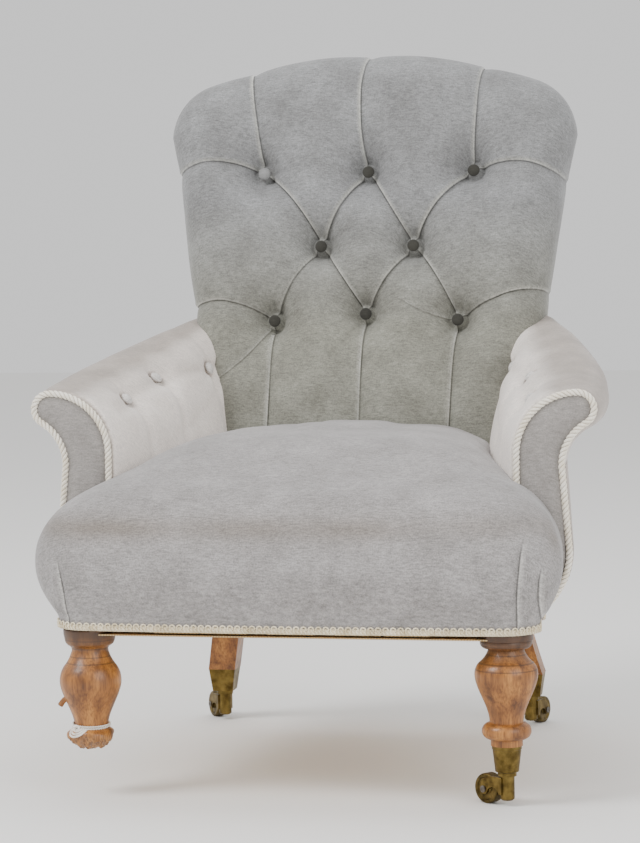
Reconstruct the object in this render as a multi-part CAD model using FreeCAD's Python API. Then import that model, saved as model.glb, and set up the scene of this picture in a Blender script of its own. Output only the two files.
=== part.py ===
"""Button-back lady chair: a sprung and stuffed armchair on turned legs with brass castors.

Millimetres. X runs to the right seen from the front, Y to the back, Z up, and the floor is Z = 0.
"""
import FreeCAD
import Part
import math
import os

V = FreeCAD.Vector

# Seat frame of beech rails round two square leg heads and two back posts
RAIL_BOTTOM = 187.0
RAIL_HEIGHT = 78.0
RAIL_THICK = 28.0
HEAD_SIZE = 58.0
FRONT_LEG_X = 231.0
FRONT_LEG_Y = -262.4
SIDE_TAPER = 0.126
BLOCK_LEG = 85.0
BLOCK_HEIGHT = 50.0

# Turned front legs
CASTOR_HEIGHT = 66.0
SPINDLE_HEIGHT = 7.0
SPINDLE_DIA = 34.6
RING_HEIGHT = 18.0
RING_DIA = 53.6
ANKLE_DIA = 36.6
BULB_DIA = 68.4
NECK_DIA = 37.6
CAP_DIA = 60.0
CAP_HEIGHT = 15.0
PEG_DIA = 27.0
PEG_LENGTH = 18.0
PEG_TAPER = 5.0
STRING_DIA = 2.4

# Back posts, raked, each going on below the rail as a back leg
BACK_RAKE = 10.0
BACK_Y = 187.6
POST_WIDTH = 34.0
POST_DEPTH = 32.0
REAR_FOOT_X = 196.0
REAR_FOOT_Y = 234.6
REAR_FOOT_SIZE = 34.0

# Stuffed back, heights taken up the rake from the top of the seat rails
BACK_HEIGHT = 580.0
BACK_WIDE = 257.0
BACK_WIDE_AT = 477.0
BACK_WAIST = 223.0
BACK_WAIST_AT = 250.0
BACK_BASE = 208.0
SHOULDER_X = 205.0
SHOULDER_AT = 545.0
BACK_PAD = 70.0
BACK_WRAP = 20.0
CREST_HEIGHT = 75.0
STAY_AT = 90.0
STAY_HEIGHT = 40.0
CANVAS = 1.5
WEB_THICK = 2.0
WEB_WIDTH = 50.0
COVER = 3.0

# Buttons and pleats
BUTTON_DIA = 15.0
BUTTON_HEIGHT = 5.5
TUFT_DEPTH = 34.0
TUFT_DIA = 84.0
PLEAT_DEPTH = 13.0
PLEAT_WIDTH = 22.0
ROW_TOP = 427.0
ROW_MIDDLE = 334.0
ROW_LOW = 241.0
ROW_TOP_X = 132.0
ROW_MIDDLE_X = 58.0
ROW_LOW_X = 115.0

# Scroll arms: sections at the facing, half way back and at the back post
ARM_FRONT_Y = -165.4
ARM_INNER_FRONT = 228.0
ARM_INNER_MIDDLE = 188.0
ARM_INNER_REAR = 176.0
SCROLL_X_FRONT = 300.0
SCROLL_X_MIDDLE = 274.0
SCROLL_X_REAR = 208.0
SCROLL_Z_FRONT = 422.0
SCROLL_Z_MIDDLE = 438.0
SCROLL_Z_REAR = 493.0
SCROLL_DIA_FRONT = 44.0
SCROLL_DIA_MIDDLE = 74.0
SCROLL_DIA_REAR = 48.0
WAIST_FRONT = 286.0
WAIST_MIDDLE = 260.0
WAIST_REAR = 206.0
TUCK_ANGLE_FRONT = 60.0
TUCK_ANGLE_MIDDLE = 80.0
TUCK_ANGLE_REAR = 65.0
ARM_BASE_FRONT = 260.0
ARM_BASE_REAR = 205.0
ARM_BELLY = 8.0
ARM_BUTTONS = ((-72.0, 432.0), (22.0, 452.0), (143.0, 455.0))
ARM_BUTTON_SINK = 7.0
ARM_WALL = 26.0
ARM_SWELL = 14.0
POST_SKIN = 6.0
STUMP_THICK = 28.0
ARM_RAIL_DIA = 24.0
TACKING_SIZE = 20.0
FACING_THICK = 5.0
ROPE_DIA = 8.0

# Domed seat
SEAT_BASE = 266.0
SEAT_WIDE = 294.0
SEAT_FRONT = -315.5
SEAT_CROWN = 390.0
SEAT_BULGE_Z = 262.0
SEAT_SETBACK = 20.0
SEAT_CORNER = 42.0
SPRING_TOP = 327.0
SPRING_DIA = 82.0
SPRING_WAIST = 50.0
SPRING_WIRE = 3.6
SPRING_TURNS = 5
SPRING_PITCH_X = 74.0
SPRING_PITCH_Y = 92.0
SPRING_MID_Y = -78.0
GIMP_HEIGHT = 10.0
GIMP_THICK = 3.0

# Castors
WHEEL_DIA = 33.0
WHEEL_WIDTH = 13.0
CASTOR_TRAIL = 26.0
BARREL_DIA = 16.0
BARREL_END = 8.5
CUP_BOTTOM = 33.0
CUP_WALL = 2.7
CUP_FLOOR = 10.0
PINTLE_DIA = 8.0
AXLE_DIA = 5.0
RUNNING = 0.05
END_PLAY = 0.35
CHEEK = 3.0
WHEEL_GAP = 0.5
FRONT_HEADING = 145.0
REAR_LEFT_HEADING = 125.0
REAR_RIGHT_HEADING = 70.0

# Lines that several pieces share
RAIL_TOP = RAIL_BOTTOM + RAIL_HEIGHT
HEAD_OUT = FRONT_LEG_X + HEAD_SIZE / 2
HEAD_FRONT = FRONT_LEG_Y - HEAD_SIZE / 2
HEAD_BACK = FRONT_LEG_Y + HEAD_SIZE / 2
RAKE = math.radians(BACK_RAKE)
ARM_REAR_Y = BACK_Y + POST_DEPTH + 17.0
PAD_BACK = WEB_THICK + CANVAS
PIT_FLOOR = BACK_PAD - TUFT_DEPTH
FAR = 700.0


def segment(a, b):
    return Part.LineSegment(a, b).toShape()


def arc(a, middle, b):
    return Part.Arc(a, middle, b).toShape()


def spline(points):
    curve = Part.BSplineCurve()
    curve.interpolate(points)
    return curve.toShape()


def chain(points):
    return [segment(a, b) for a, b in zip(points, points[1:])]


def face(edges):
    return Part.Face(Part.Wire(edges))


def prism(points, along):
    return face(chain(points + [points[0]])).extrude(along)


def box(x0, x1, y0, y1, z0, z1):
    return Part.makeBox(x1 - x0, y1 - y0, z1 - z0, V(x0, y0, z0))


def rod(radius, start, end):
    return Part.makeCylinder(radius, (end - start).Length, start, end - start)


def turned(edges):
    return face(edges).revolve(V(), V(0, 0, 1), 360)


def loft(wires, ruled=False):
    return Part.makeLoft(wires, True, ruled)


def mirrored(shape):
    return shape.mirror(V(), V(1, 0, 0))


def moved(shape, x, y, z):
    copy = shape.copy()
    copy.translate(V(x, y, z))
    return copy


def main_solid(shape):
    return max(shape.Solids, key=lambda solid: solid.Volume)


def less(shape, tools):
    for tool in tools:
        shape = shape.cut(tool)
    return main_solid(shape)


def half_space(point, outward):
    block = Part.makeBox(2 * FAR, 2 * FAR, 2 * FAR, V(-FAR, -FAR, 0))
    block.Placement = FreeCAD.Placement(point, FreeCAD.Rotation(V(0, 0, 1), outward))
    return block


def leaned(shape):
    """Put a piece drawn upright, with Y = 0 on the front of the back posts, onto the rake."""
    copy = shape.copy()
    lean = FreeCAD.Placement(V(0, BACK_Y, RAIL_TOP), FreeCAD.Rotation(V(1, 0, 0), -BACK_RAKE))
    copy.Placement = lean.multiply(copy.Placement)
    return copy


def post_front(z):
    return BACK_Y + (z - RAIL_TOP) * math.tan(RAKE)


def save(node, solids):
    shape = solids[0] if len(solids) == 1 else Part.Compound(solids)
    shape.exportStep("parts/" + node + ".step")


# Front legs


def leg_heights():
    spindle_top = CASTOR_HEIGHT + SPINDLE_HEIGHT
    ankle = spindle_top + RING_HEIGHT
    neck = RAIL_BOTTOM - CAP_HEIGHT
    return spindle_top, ankle, neck


def leg_top_edges():
    """Profile from the axis at the top, over the cap, neck and bulb, down to the ankle."""
    spindle_top, ankle, neck = leg_heights()
    cap = CAP_DIA / 2
    band = RAIL_BOTTOM - CAP_HEIGHT * 0.42
    groove = cap - 2.2
    bulb = BULB_DIA / 2
    vase = neck - ankle
    shoulder = V(bulb * 0.86, 0, ankle + vase * 0.80)
    step = V(shoulder.x - 1.2, 0, shoulder.z + 0.8)
    edges = chain([
        V(0, 0, RAIL_BOTTOM),
        V(cap - 0.8, 0, RAIL_BOTTOM),
        V(cap - 0.8, 0, band),
        V(groove, 0, band - 0.8),
    ])
    edges.append(arc(
        V(groove, 0, band - 0.8),
        V(cap * 0.93, 0, neck + CAP_HEIGHT * 0.26),
        V(NECK_DIA / 2, 0, neck),
    ))
    edges.append(spline([
        V(NECK_DIA / 2, 0, neck),
        V(NECK_DIA / 2 + 1.6, 0, neck - vase * 0.06),
        step,
    ]))
    edges.append(segment(step, shoulder))
    edges.append(spline([
        shoulder,
        V(bulb, 0, ankle + vase * 0.66),
        V(bulb * 0.93, 0, ankle + vase * 0.50),
        V(ANKLE_DIA / 2 * 1.22, 0, ankle + vase * 0.22),
        V(ANKLE_DIA / 2, 0, ankle),
    ]))
    return edges


def ring_edge(low):
    spindle_top, ankle, neck = leg_heights()
    return arc(
        V(ANKLE_DIA / 2, 0, ankle),
        V(RING_DIA / 2, 0, (ankle + spindle_top) / 2),
        V(low, 0, spindle_top),
    )


def leg_head():
    """Square head of the right leg, its outer corner rounded under the seat cover."""
    half = HEAD_SIZE / 2
    head = box(FRONT_LEG_X - half, HEAD_OUT, HEAD_FRONT, HEAD_BACK, RAIL_BOTTOM, RAIL_TOP)
    corner = V(HEAD_OUT, HEAD_FRONT, (RAIL_BOTTOM + RAIL_TOP) / 2)
    edge = min(head.Edges, key=lambda e: e.CenterOfMass.distanceToPoint(corner))
    return head.makeFillet(half, [edge])


def front_leg():
    spindle_top, ankle, neck = leg_heights()
    low = SPINDLE_DIA / 2
    edges = leg_top_edges()
    edges.append(ring_edge(low))
    edges += chain([
        V(low, 0, spindle_top),
        V(low, 0, CASTOR_HEIGHT),
        V(PEG_DIA / 2, 0, CASTOR_HEIGHT),
        V((PEG_DIA - PEG_TAPER) / 2, 0, CASTOR_HEIGHT - PEG_LENGTH),
        V(0, 0, CASTOR_HEIGHT - PEG_LENGTH),
        V(0, 0, RAIL_BOTTOM),
    ])
    turning = moved(turned(edges), FRONT_LEG_X, FRONT_LEG_Y, 0)
    return main_solid(turning.fuse(leg_head()))


def broken_leg():
    """The other front leg: snapped through its foot ring, so the peg and castor are gone."""
    spindle_top, ankle, neck = leg_heights()
    low = SPINDLE_DIA / 2 * 1.15
    edges = leg_top_edges()
    edges.append(ring_edge(low))
    edges += chain([
        V(low, 0, spindle_top),
        V(low * 0.8, 0, CASTOR_HEIGHT - 1),
        V(0, 0, CASTOR_HEIGHT - 1),
        V(0, 0, RAIL_BOTTOM),
    ])
    stump = moved(turned(edges), -FRONT_LEG_X, FRONT_LEG_Y, 0)
    chip = RING_DIA * 0.39
    breaks = [(200, 20, 0, 1), (320, 26, 0, 1), (75, 24, 0, 0)]
    breaks += [(255, 62, chip, 13), (15, 66, chip, 12), (130, 58, chip, 11)]
    for bearing, tilt, reach, rise in breaks:
        a = math.radians(bearing)
        t = math.radians(tilt)
        way = V(math.cos(a), math.sin(a), 0)
        place = V(-FRONT_LEG_X, FRONT_LEG_Y, CASTOR_HEIGHT + rise) + way * reach
        stump = stump.cut(half_space(place, way * math.sin(t) - V(0, 0, math.cos(t))))
    return main_solid(stump.fuse(mirrored(leg_head())))


def string_tie():
    """Turns of white string tied tight round the ankle of the broken leg."""
    spindle_top, ankle, neck = leg_heights()
    radius = ANKLE_DIA / 2 + STRING_DIA / 2 + 0.5
    turns = []
    for turn in range(3):
        z = ankle + STRING_DIA * (0.6 + turn * 1.1)
        ring = Part.makeTorus(radius + 0.12 * turn, STRING_DIA / 2, V(-FRONT_LEG_X, FRONT_LEG_Y, z))
        turns.append(ring)
    return turns


# Castors, drawn with the swivel axis on Z and the wheel trailing along X


def cup_inside(square):
    """The hollow of a castor cup: taper for the peg, room for the pintle head and the pintle hole."""
    floor = CUP_BOTTOM + CUP_FLOOR
    peg_end = CASTOR_HEIGHT - PEG_LENGTH
    room = Part.makeCylinder(7.5, peg_end - floor, V(0, 0, floor))
    hole = Part.makeCylinder(PINTLE_DIA / 2 + RUNNING, floor - CUP_BOTTOM, V(0, 0, CUP_BOTTOM))
    if square:
        taper = square_taper(PEG_DIA, CASTOR_HEIGHT, PEG_DIA - PEG_TAPER, peg_end)
    else:
        taper = Part.makeCone((PEG_DIA - PEG_TAPER) / 2, PEG_DIA / 2, PEG_LENGTH, V(0, 0, peg_end))
    return [taper, room, hole]


def square_taper(top_size, top, end_size, end):
    wires = []
    for size, z in ((end_size, end), (top_size, top)):
        h = size / 2
        corners = [V(-h, -h, z), V(h, -h, z), V(h, h, z), V(-h, h, z), V(-h, -h, z)]
        wires.append(Part.Wire(chain(corners)))
    return loft(wires, True)


def castor_cup(square):
    rim = PEG_DIA / 2 + CUP_WALL
    end = rim - 3.4
    neck = CUP_BOTTOM + 5.0
    if square:
        shell = square_taper(2 * rim + 1.0, CASTOR_HEIGHT, 2 * end, neck)
        shell = shell.fuse(Part.makeCylinder(end * 0.8, neck - CUP_BOTTOM, V(0, 0, CUP_BOTTOM)))
    else:
        shell = turned(chain([
            V(0, 0, CUP_BOTTOM),
            V(end * 0.8, 0, CUP_BOTTOM),
            V(end * 0.8, 0, neck - 1),
            V(end, 0, neck),
            V(rim - 0.6, 0, CASTOR_HEIGHT - 4),
            V(rim, 0, CASTOR_HEIGHT - 3.4),
            V(rim, 0, CASTOR_HEIGHT),
            V(0, 0, CASTOR_HEIGHT),
            V(0, 0, CUP_BOTTOM),
        ]))
    return less(shell, cup_inside(square))


def cheek_face():
    """Side of the horn: over the wheel from the barrel, round the axle and back under an arch."""
    top = CUP_BOTTOM - END_PLAY - 1.0
    axle = WHEEL_DIA / 2
    hub = AXLE_DIA / 2 + 3.0
    far = V(CASTOR_TRAIL + hub, 0, axle)
    under = V(CASTOR_TRAIL - hub * 0.95, 0, axle - hub * 0.3)
    shoulder = V(CASTOR_TRAIL * 0.45, 0, top)
    foot = V(BARREL_DIA * 0.25, 0, axle - 3.5)
    edges = [
        segment(V(0, 0, top), shoulder),
        arc(shoulder, V(CASTOR_TRAIL * 0.94, 0, top - 3.4), far),
        arc(far, V(CASTOR_TRAIL, 0, axle - hub), under),
        arc(under, V(CASTOR_TRAIL * 0.46, 0, axle + 3.5), foot),
        segment(foot, V(0, 0, foot.z)),
        segment(V(0, 0, foot.z), V(0, 0, top)),
    ]
    return face(edges)


def castor_horn():
    inner = WHEEL_WIDTH / 2 + WHEEL_GAP
    outer = inner + CHEEK
    top = CUP_BOTTOM - END_PLAY
    floor = CUP_BOTTOM + CUP_FLOOR
    side = cheek_face()
    near = moved(side.extrude(V(0, CHEEK, 0)), 0, inner, 0)
    far = moved(side.extrude(V(0, CHEEK, 0)), 0, -outer, 0)
    reach = CASTOR_TRAIL - WHEEL_DIA / 2 - 0.7
    bridge = moved(side.extrude(V(0, 2 * outer, 0)), 0, -outer, 0)
    bridge = bridge.common(box(-1, reach, -outer, outer, 0, top))
    barrel = Part.makeCylinder(BARREL_DIA / 2, top - BARREL_END, V(0, 0, BARREL_END))
    foot = Part.makeCone(BARREL_DIA / 2 - 2, BARREL_DIA / 2, 2.0, V(0, 0, BARREL_END - 2.0))
    pintle = Part.makeCylinder(PINTLE_DIA / 2, floor + END_PLAY - top, V(0, 0, top))
    head = Part.makeCylinder(6.0, 2.0, V(0, 0, floor + END_PLAY))
    horn = barrel.multiFuse([foot, bridge, near, far, pintle, head])
    eye = rod(AXLE_DIA / 2, V(CASTOR_TRAIL, -FAR, WHEEL_DIA / 2), V(CASTOR_TRAIL, FAR, WHEEL_DIA / 2))
    return less(horn, [eye])


def castor_axle():
    outer = WHEEL_WIDTH / 2 + WHEEL_GAP + CHEEK
    at = V(CASTOR_TRAIL, 0, WHEEL_DIA / 2)
    pin = rod(AXLE_DIA / 2, at + V(0, -outer - 1, 0), at + V(0, outer + 1, 0))
    for sense in (-1, 1):
        head = rod(AXLE_DIA / 2 + 1.2, at + V(0, sense * outer, 0), at + V(0, sense * (outer + 1.2), 0))
        pin = pin.fuse(head)
    return main_solid(pin.removeSplitter())


def castor_wheel():
    r = WHEEL_DIA / 2
    h = WHEEL_WIDTH / 2
    bore = AXLE_DIA / 2 + RUNNING
    edges = chain([
        V(r, 0, 2.0 - h),
        V(r, 0, h - 2.0),
    ])
    edges.append(arc(V(r, 0, h - 2.0), V(r - 0.6, 0, h - 0.6), V(r - 2.0, 0, h)))
    edges += chain([
        V(r - 2.0, 0, h),
        V(r - 4.0, 0, h),
        V(r - 5.0, 0, h - 1.2),
        V(bore + 4.0, 0, h - 1.2),
        V(bore + 3.0, 0, h),
        V(bore, 0, h),
        V(bore, 0, -h),
        V(bore + 3.0, 0, -h),
        V(bore + 4.0, 0, 1.2 - h),
        V(r - 5.0, 0, 1.2 - h),
        V(r - 4.0, 0, -h),
        V(r - 2.0, 0, -h),
    ])
    edges.append(arc(V(r - 2.0, 0, -h), V(r - 0.6, 0, 0.6 - h), V(r, 0, 2.0 - h)))
    wheel = turned(edges)
    wheel.rotate(V(), V(1, 0, 0), 90)
    return moved(wheel, CASTOR_TRAIL, 0, r)


def place_castor(name, x, y, heading, square):
    pieces = {
        "cup": castor_cup(square),
        "horn": castor_horn(),
        "axle": castor_axle(),
        "wheel": castor_wheel(),
    }
    for piece, solid in pieces.items():
        if piece != "cup":
            solid.rotate(V(), V(0, 0, 1), heading)
        save("castor_" + piece + "_" + name, [moved(solid, x, y, 0)])


# Back frame


def side_x(height):
    """Half width of the back at a height up the rake: one arc from the base through the waist."""
    curve = Part.Arc(
        V(BACK_BASE, 0, RAIL_BOTTOM - RAIL_TOP),
        V(BACK_WAIST, 0, BACK_WAIST_AT),
        V(BACK_WIDE, 0, BACK_WIDE_AT),
    )
    level = Part.LineSegment(V(0, 0, height), V(FAR, 0, height))
    return curve.intersectCC(level)[0].X


def side_edge(inset, low, high, sense):
    ends = []
    for height in (low, (low + high) / 2, high):
        ends.append(V(sense * (side_x(height) - inset), 0, height))
    return arc(*ends)


def crown_edges(inset):
    """Right corner, crest and left corner of the back, drawn in by an inset."""
    edges = []
    shoulder = V(SHOULDER_X - inset * 0.55, 0, SHOULDER_AT - inset)
    wide = V(BACK_WIDE - inset, 0, BACK_WIDE_AT)
    middle = wide + V((shoulder.x - wide.x) * 0.30, 0, (shoulder.z - wide.z) * 0.62)
    edges.append(arc(wide, middle, shoulder))
    left_shoulder = V(-shoulder.x, 0, shoulder.z)
    edges.append(arc(shoulder, V(0, 0, BACK_HEIGHT - inset), left_shoulder))
    edges.append(arc(left_shoulder, V(-middle.x, 0, middle.z), V(-wide.x, 0, wide.z)))
    return edges


def back_wire(inset, low, y):
    edges = [side_edge(inset, low, BACK_WIDE_AT, 1)]
    edges += crown_edges(inset)
    edges.append(side_edge(inset, BACK_WIDE_AT, low, -1))
    start = V(-(side_x(low) - inset), 0, low)
    edges.append(segment(start, V(-start.x, 0, low)))
    wire = Part.Wire(edges)
    wire.translate(V(0, y, 0))
    return wire


def back_post():
    low = RAIL_BOTTOM - RAIL_TOP - 20.0
    outer = BACK_WRAP
    inner = BACK_WRAP + POST_WIDTH
    top = BACK_WIDE_AT
    edges = [
        side_edge(outer, RAIL_BOTTOM - RAIL_TOP, top, 1),
        segment(V(BACK_WIDE - outer, 0, top), V(BACK_WIDE - inner, 0, top)),
        side_edge(inner, top, RAIL_BOTTOM - RAIL_TOP, 1),
        segment(V(BACK_BASE - inner, 0, RAIL_BOTTOM - RAIL_TOP), V(BACK_BASE - inner, 0, low)),
        segment(V(BACK_BASE - inner, 0, low), V(BACK_BASE - outer, 0, low)),
        segment(V(BACK_BASE - outer, 0, low), V(BACK_BASE - outer, 0, RAIL_BOTTOM - RAIL_TOP)),
    ]
    post = leaned(face(edges).extrude(V(0, POST_DEPTH, 0)))
    return post.cut(half_space(V(0, 0, RAIL_BOTTOM), V(0, 0, -1)))


def rectangle(x0, x1, y0, y1, z):
    return Part.Wire(chain([V(x0, y0, z), V(x1, y0, z), V(x1, y1, z), V(x0, y1, z), V(x0, y0, z)]))


def rear_leg():
    """Back post, with the leg swept back below the rail to a square peg for its castor."""
    depth = POST_DEPTH / math.cos(RAKE)
    front = post_front(RAIL_BOTTOM)
    inner = BACK_BASE - BACK_WRAP - POST_WIDTH
    outer = BACK_BASE - BACK_WRAP
    half = REAR_FOOT_SIZE / 2
    knee_x = (inner + outer) / 2 * 0.55 + REAR_FOOT_X * 0.45
    knee_y = (front + depth / 2) * 0.62 + REAR_FOOT_Y * 0.38
    sections = [
        rectangle(inner, outer, front, front + depth, RAIL_BOTTOM),
        rectangle(knee_x - half, knee_x + half, knee_y - half, knee_y + half,
                  RAIL_BOTTOM * 0.5 + CASTOR_HEIGHT * 0.5),
        rectangle(REAR_FOOT_X - half, REAR_FOOT_X + half, REAR_FOOT_Y - half, REAR_FOOT_Y + half, CASTOR_HEIGHT),
    ]
    leg = loft(sections)
    peg = square_taper(PEG_DIA, CASTOR_HEIGHT, PEG_DIA - PEG_TAPER, CASTOR_HEIGHT - PEG_LENGTH)
    peg = moved(peg, REAR_FOOT_X, REAR_FOOT_Y, 0)
    return main_solid(back_post().multiFuse([leg, peg]))


def crest_rail():
    edges = crown_edges(BACK_WRAP)
    outer = BACK_WIDE - BACK_WRAP
    inner = outer - POST_WIDTH
    level = BACK_WIDE_AT
    edges.append(segment(V(-outer, 0, level), V(-inner, 0, level)))
    arch = BACK_HEIGHT - BACK_WRAP - CREST_HEIGHT
    edges.append(arc(V(-inner, 0, level), V(0, 0, arch), V(inner, 0, level)))
    edges.append(segment(V(inner, 0, level), V(outer, 0, level)))
    return leaned(face(edges).extrude(V(0, POST_DEPTH, 0)))


# Seat frame


def side_line(y):
    """Outside of the side rail, drawing in to the back from the leg head."""
    return HEAD_OUT - SIDE_TAPER * (y - HEAD_BACK)


def side_rail(post):
    end = BACK_Y + POST_DEPTH
    plan = [
        V(side_line(HEAD_BACK) - RAIL_THICK, HEAD_BACK, RAIL_BOTTOM),
        V(side_line(HEAD_BACK), HEAD_BACK, RAIL_BOTTOM),
        V(side_line(end), end, RAIL_BOTTOM),
        V(side_line(end) - RAIL_THICK, end, RAIL_BOTTOM),
    ]
    rail = prism(plan, V(0, 0, RAIL_HEIGHT))
    return less(rail, [post, leaned(box(-FAR, FAR, 0, FAR, -FAR, FAR))])


def front_rail():
    half = FRONT_LEG_X - HEAD_SIZE / 2
    return box(-half, half, HEAD_FRONT, HEAD_FRONT + RAIL_THICK, RAIL_BOTTOM, RAIL_TOP)


def rear_rail(posts):
    back = post_front(RAIL_BOTTOM) + POST_DEPTH / math.cos(RAKE) - 0.5
    half = BACK_BASE - BACK_WRAP
    rail = box(-half, half, back - RAIL_THICK, back, RAIL_BOTTOM, RAIL_TOP)
    return less(rail, posts + [moved(post, 0, -RAIL_THICK / 2, 0) for post in posts])


def stay_rail(posts):
    half = side_x(STAY_AT) - BACK_WRAP
    rail = leaned(box(-half, half, 4, POST_DEPTH - 4, STAY_AT, STAY_AT + STAY_HEIGHT))
    return less(rail, posts)


def corner_blocks(right_side_rail, right_post, leg_heads, rails):
    base = RAIL_BOTTOM + (RAIL_HEIGHT - BLOCK_HEIGHT) / 2
    inside = HEAD_FRONT + RAIL_THICK
    wall = side_line(inside) - RAIL_THICK
    front = prism([
        V(wall - BLOCK_LEG, inside, base),
        V(wall + 20, inside, base),
        V(wall + 20, inside + BLOCK_LEG, base),
        V(wall, inside + BLOCK_LEG, base),
    ], V(0, 0, BLOCK_HEIGHT))
    back_line = post_front(RAIL_BOTTOM) + POST_DEPTH / math.cos(RAKE) - 0.5 - RAIL_THICK
    wall = side_line(back_line) - RAIL_THICK
    back = prism([
        V(wall - BLOCK_LEG, back_line, base),
        V(wall + 20, back_line, base),
        V(wall + 20, back_line - BLOCK_LEG, base),
        V(wall, back_line - BLOCK_LEG, base),
    ], V(0, 0, BLOCK_HEIGHT))
    tools = [right_side_rail, right_post, leg_heads] + rails
    pair = [less(front, tools), less(back, tools)]
    return pair + [mirrored(block) for block in pair]


# Arms


def bend(front, middle, rear, share):
    """Value along the arm on the parabola through its front, middle and rear values."""
    return (
        front * (1 - share) * (1 - 2 * share)
        + middle * 4 * share * (1 - share)
        + rear * share * (2 * share - 1)
    )


def arm_values(share):
    """Inside face, roll centre, roll radius and waist, from 0 at the facing to 1 at the back."""
    inner = bend(ARM_INNER_FRONT, ARM_INNER_MIDDLE, ARM_INNER_REAR, share)
    scroll = V(
        bend(SCROLL_X_FRONT, SCROLL_X_MIDDLE, SCROLL_X_REAR, share),
        0,
        bend(SCROLL_Z_FRONT, SCROLL_Z_MIDDLE, SCROLL_Z_REAR, share),
    )
    roll = bend(SCROLL_DIA_FRONT, SCROLL_DIA_MIDDLE, SCROLL_DIA_REAR, share) / 2
    waist = bend(WAIST_FRONT, WAIST_MIDDLE, WAIST_REAR, share)
    return inner, scroll, roll, waist


def scroll_edges(share, inset):
    """Inside face, roll and waist of the arm section, drawn in by an inset."""
    inner, scroll, roll, waist = arm_values(share)
    sweep = scroll.x - inner
    centre = V(scroll.x, 0, scroll.z + roll - sweep)
    big = sweep - inset
    small = roll - inset
    under = math.radians(bend(TUCK_ANGLE_FRONT, TUCK_ANGLE_MIDDLE, TUCK_ANGLE_REAR, share))
    lip = V(math.cos(under), 0, -math.sin(under))
    tuck_radius = (scroll.x + roll * lip.x - waist) / (1 - lip.x)
    hollow = scroll + lip * (roll + tuck_radius)
    tuck = tuck_radius + inset
    half = math.pi - under / 2
    swell = bend(0.0, ARM_SWELL, ARM_SWELL, share)
    seat = V(inner + inset, 0, RAIL_TOP)
    elbow = V(inner + inset, 0, centre.z)
    edges = [
        spline([seat - V(swell, 0, 0), (seat + elbow) * 0.5 - V(swell, 0, 0), elbow]),
        arc(elbow, centre + V(-math.sqrt(0.5), 0, math.sqrt(0.5)) * big, V(scroll.x, 0, centre.z + big)),
        arc(
            V(scroll.x, 0, scroll.z + small),
            scroll + V(math.cos(0.26), 0, math.sin(0.26)) * small,
            scroll + lip * small,
        ),
        arc(
            hollow - lip * tuck,
            hollow + V(math.cos(half), 0, math.sin(half)) * tuck,
            hollow + V(-tuck, 0, 0),
        ),
    ]
    return edges, hollow + V(-tuck, 0, 0)


def arm_wire(share, y, inset=0.0):
    edges, waist = scroll_edges(share, inset)
    edges += chain([waist, V(waist.x, 0, RAIL_TOP), edges[0].Vertexes[0].Point])
    wire = Part.Wire(edges)
    wire.translate(V(0, y, 0))
    return wire


def arm_share(y):
    return (y - ARM_FRONT_Y) / (ARM_REAR_Y - ARM_FRONT_Y)


def arm_y(share):
    return ARM_FRONT_Y + (ARM_REAR_Y - ARM_FRONT_Y) * share


def panel_line(share, inset):
    """Outside of the arm under the roll: waist, belly, the sag of its curve, hem and foot."""
    waist = scroll_edges(share, inset)[1]
    base_x = ARM_BASE_FRONT + (ARM_BASE_REAR - ARM_BASE_FRONT) * share - inset
    foot = V(base_x, 0, RAIL_BOTTOM + 1.0)
    hem = foot + V(0, 0, GIMP_HEIGHT + 1.0)
    belly = V(waist.x + ARM_BELLY * (1 - share), 0, RAIL_TOP)
    reach = belly.x - hem.x
    drop = belly.z - hem.z
    radius = (reach ** 2 + drop ** 2) / (2 * reach)
    angle = math.asin(drop / radius) / 2
    sag = belly - V(radius * (1 - math.cos(angle)), 0, radius * math.sin(angle))
    return waist, belly, sag, hem, foot


def side_panel_wire(share, y):
    """Section of the outside cover from the waist down over the belly to the base."""
    out = [place + V(0, y, 0) for place in panel_line(share, 0.0)]
    back = [place - V(COVER, 0, 0) for place in out]
    edges = [
        segment(out[0], out[1]),
        arc(out[1], out[2], out[3]),
        segment(out[3], out[4]),
        segment(out[4], back[4]),
        segment(back[4], back[3]),
        arc(back[3], back[2], back[1]),
        segment(back[1], back[0]),
        segment(back[0], out[0]),
    ]
    return Part.Wire(edges)


def arm_envelope():
    body = loft([arm_wire(share, arm_y(share)) for share in (0, 0.5, 1)])
    return less(body, [leaned(box(-FAR, FAR, 0, FAR, -FAR, FAR))])


def outside_arm():
    return loft([side_panel_wire(share, arm_y(share)) for share in (0, 0.5, 1)])


def arm_hollow():
    """The empty space between the stuffing on the inside of the arm and the outside cover."""
    wires = []
    for share in (0, 0.5, 1):
        y = arm_y(share)
        top = scroll_edges(share, 0.0)[1].z
        x = arm_values(share)[0] + ARM_WALL
        wires.append(Part.Wire(chain([
            V(x, y, 0), V(x + 150, y, 0), V(x + 150, y, top), V(x, y, top), V(x, y, 0),
        ])))
    return loft(wires).cut(box(0, 2 * FAR, -FAR, ARM_FRONT_Y + STUMP_THICK, 0, FAR))


def arm_stump(rail, panel):
    """Upright board behind the facing, with a tongue down the outside of the side rail."""
    board = Part.Face(arm_wire(0, ARM_FRONT_Y, POST_SKIN)).extrude(V(0, STUMP_THICK, 0))
    x = side_line(ARM_FRONT_Y)
    low = RAIL_TOP - 45.0
    tongue = prism([
        V(x - RAIL_THICK / 2, ARM_FRONT_Y, RAIL_TOP),
        V(x - RAIL_THICK / 2, ARM_FRONT_Y, low),
        V(x + 15, ARM_FRONT_Y, low),
        V(x + 28, ARM_FRONT_Y, RAIL_TOP),
    ], V(0, STUMP_THICK, 0))
    return less(board.fuse(tongue).removeSplitter(), [rail, panel])


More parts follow.
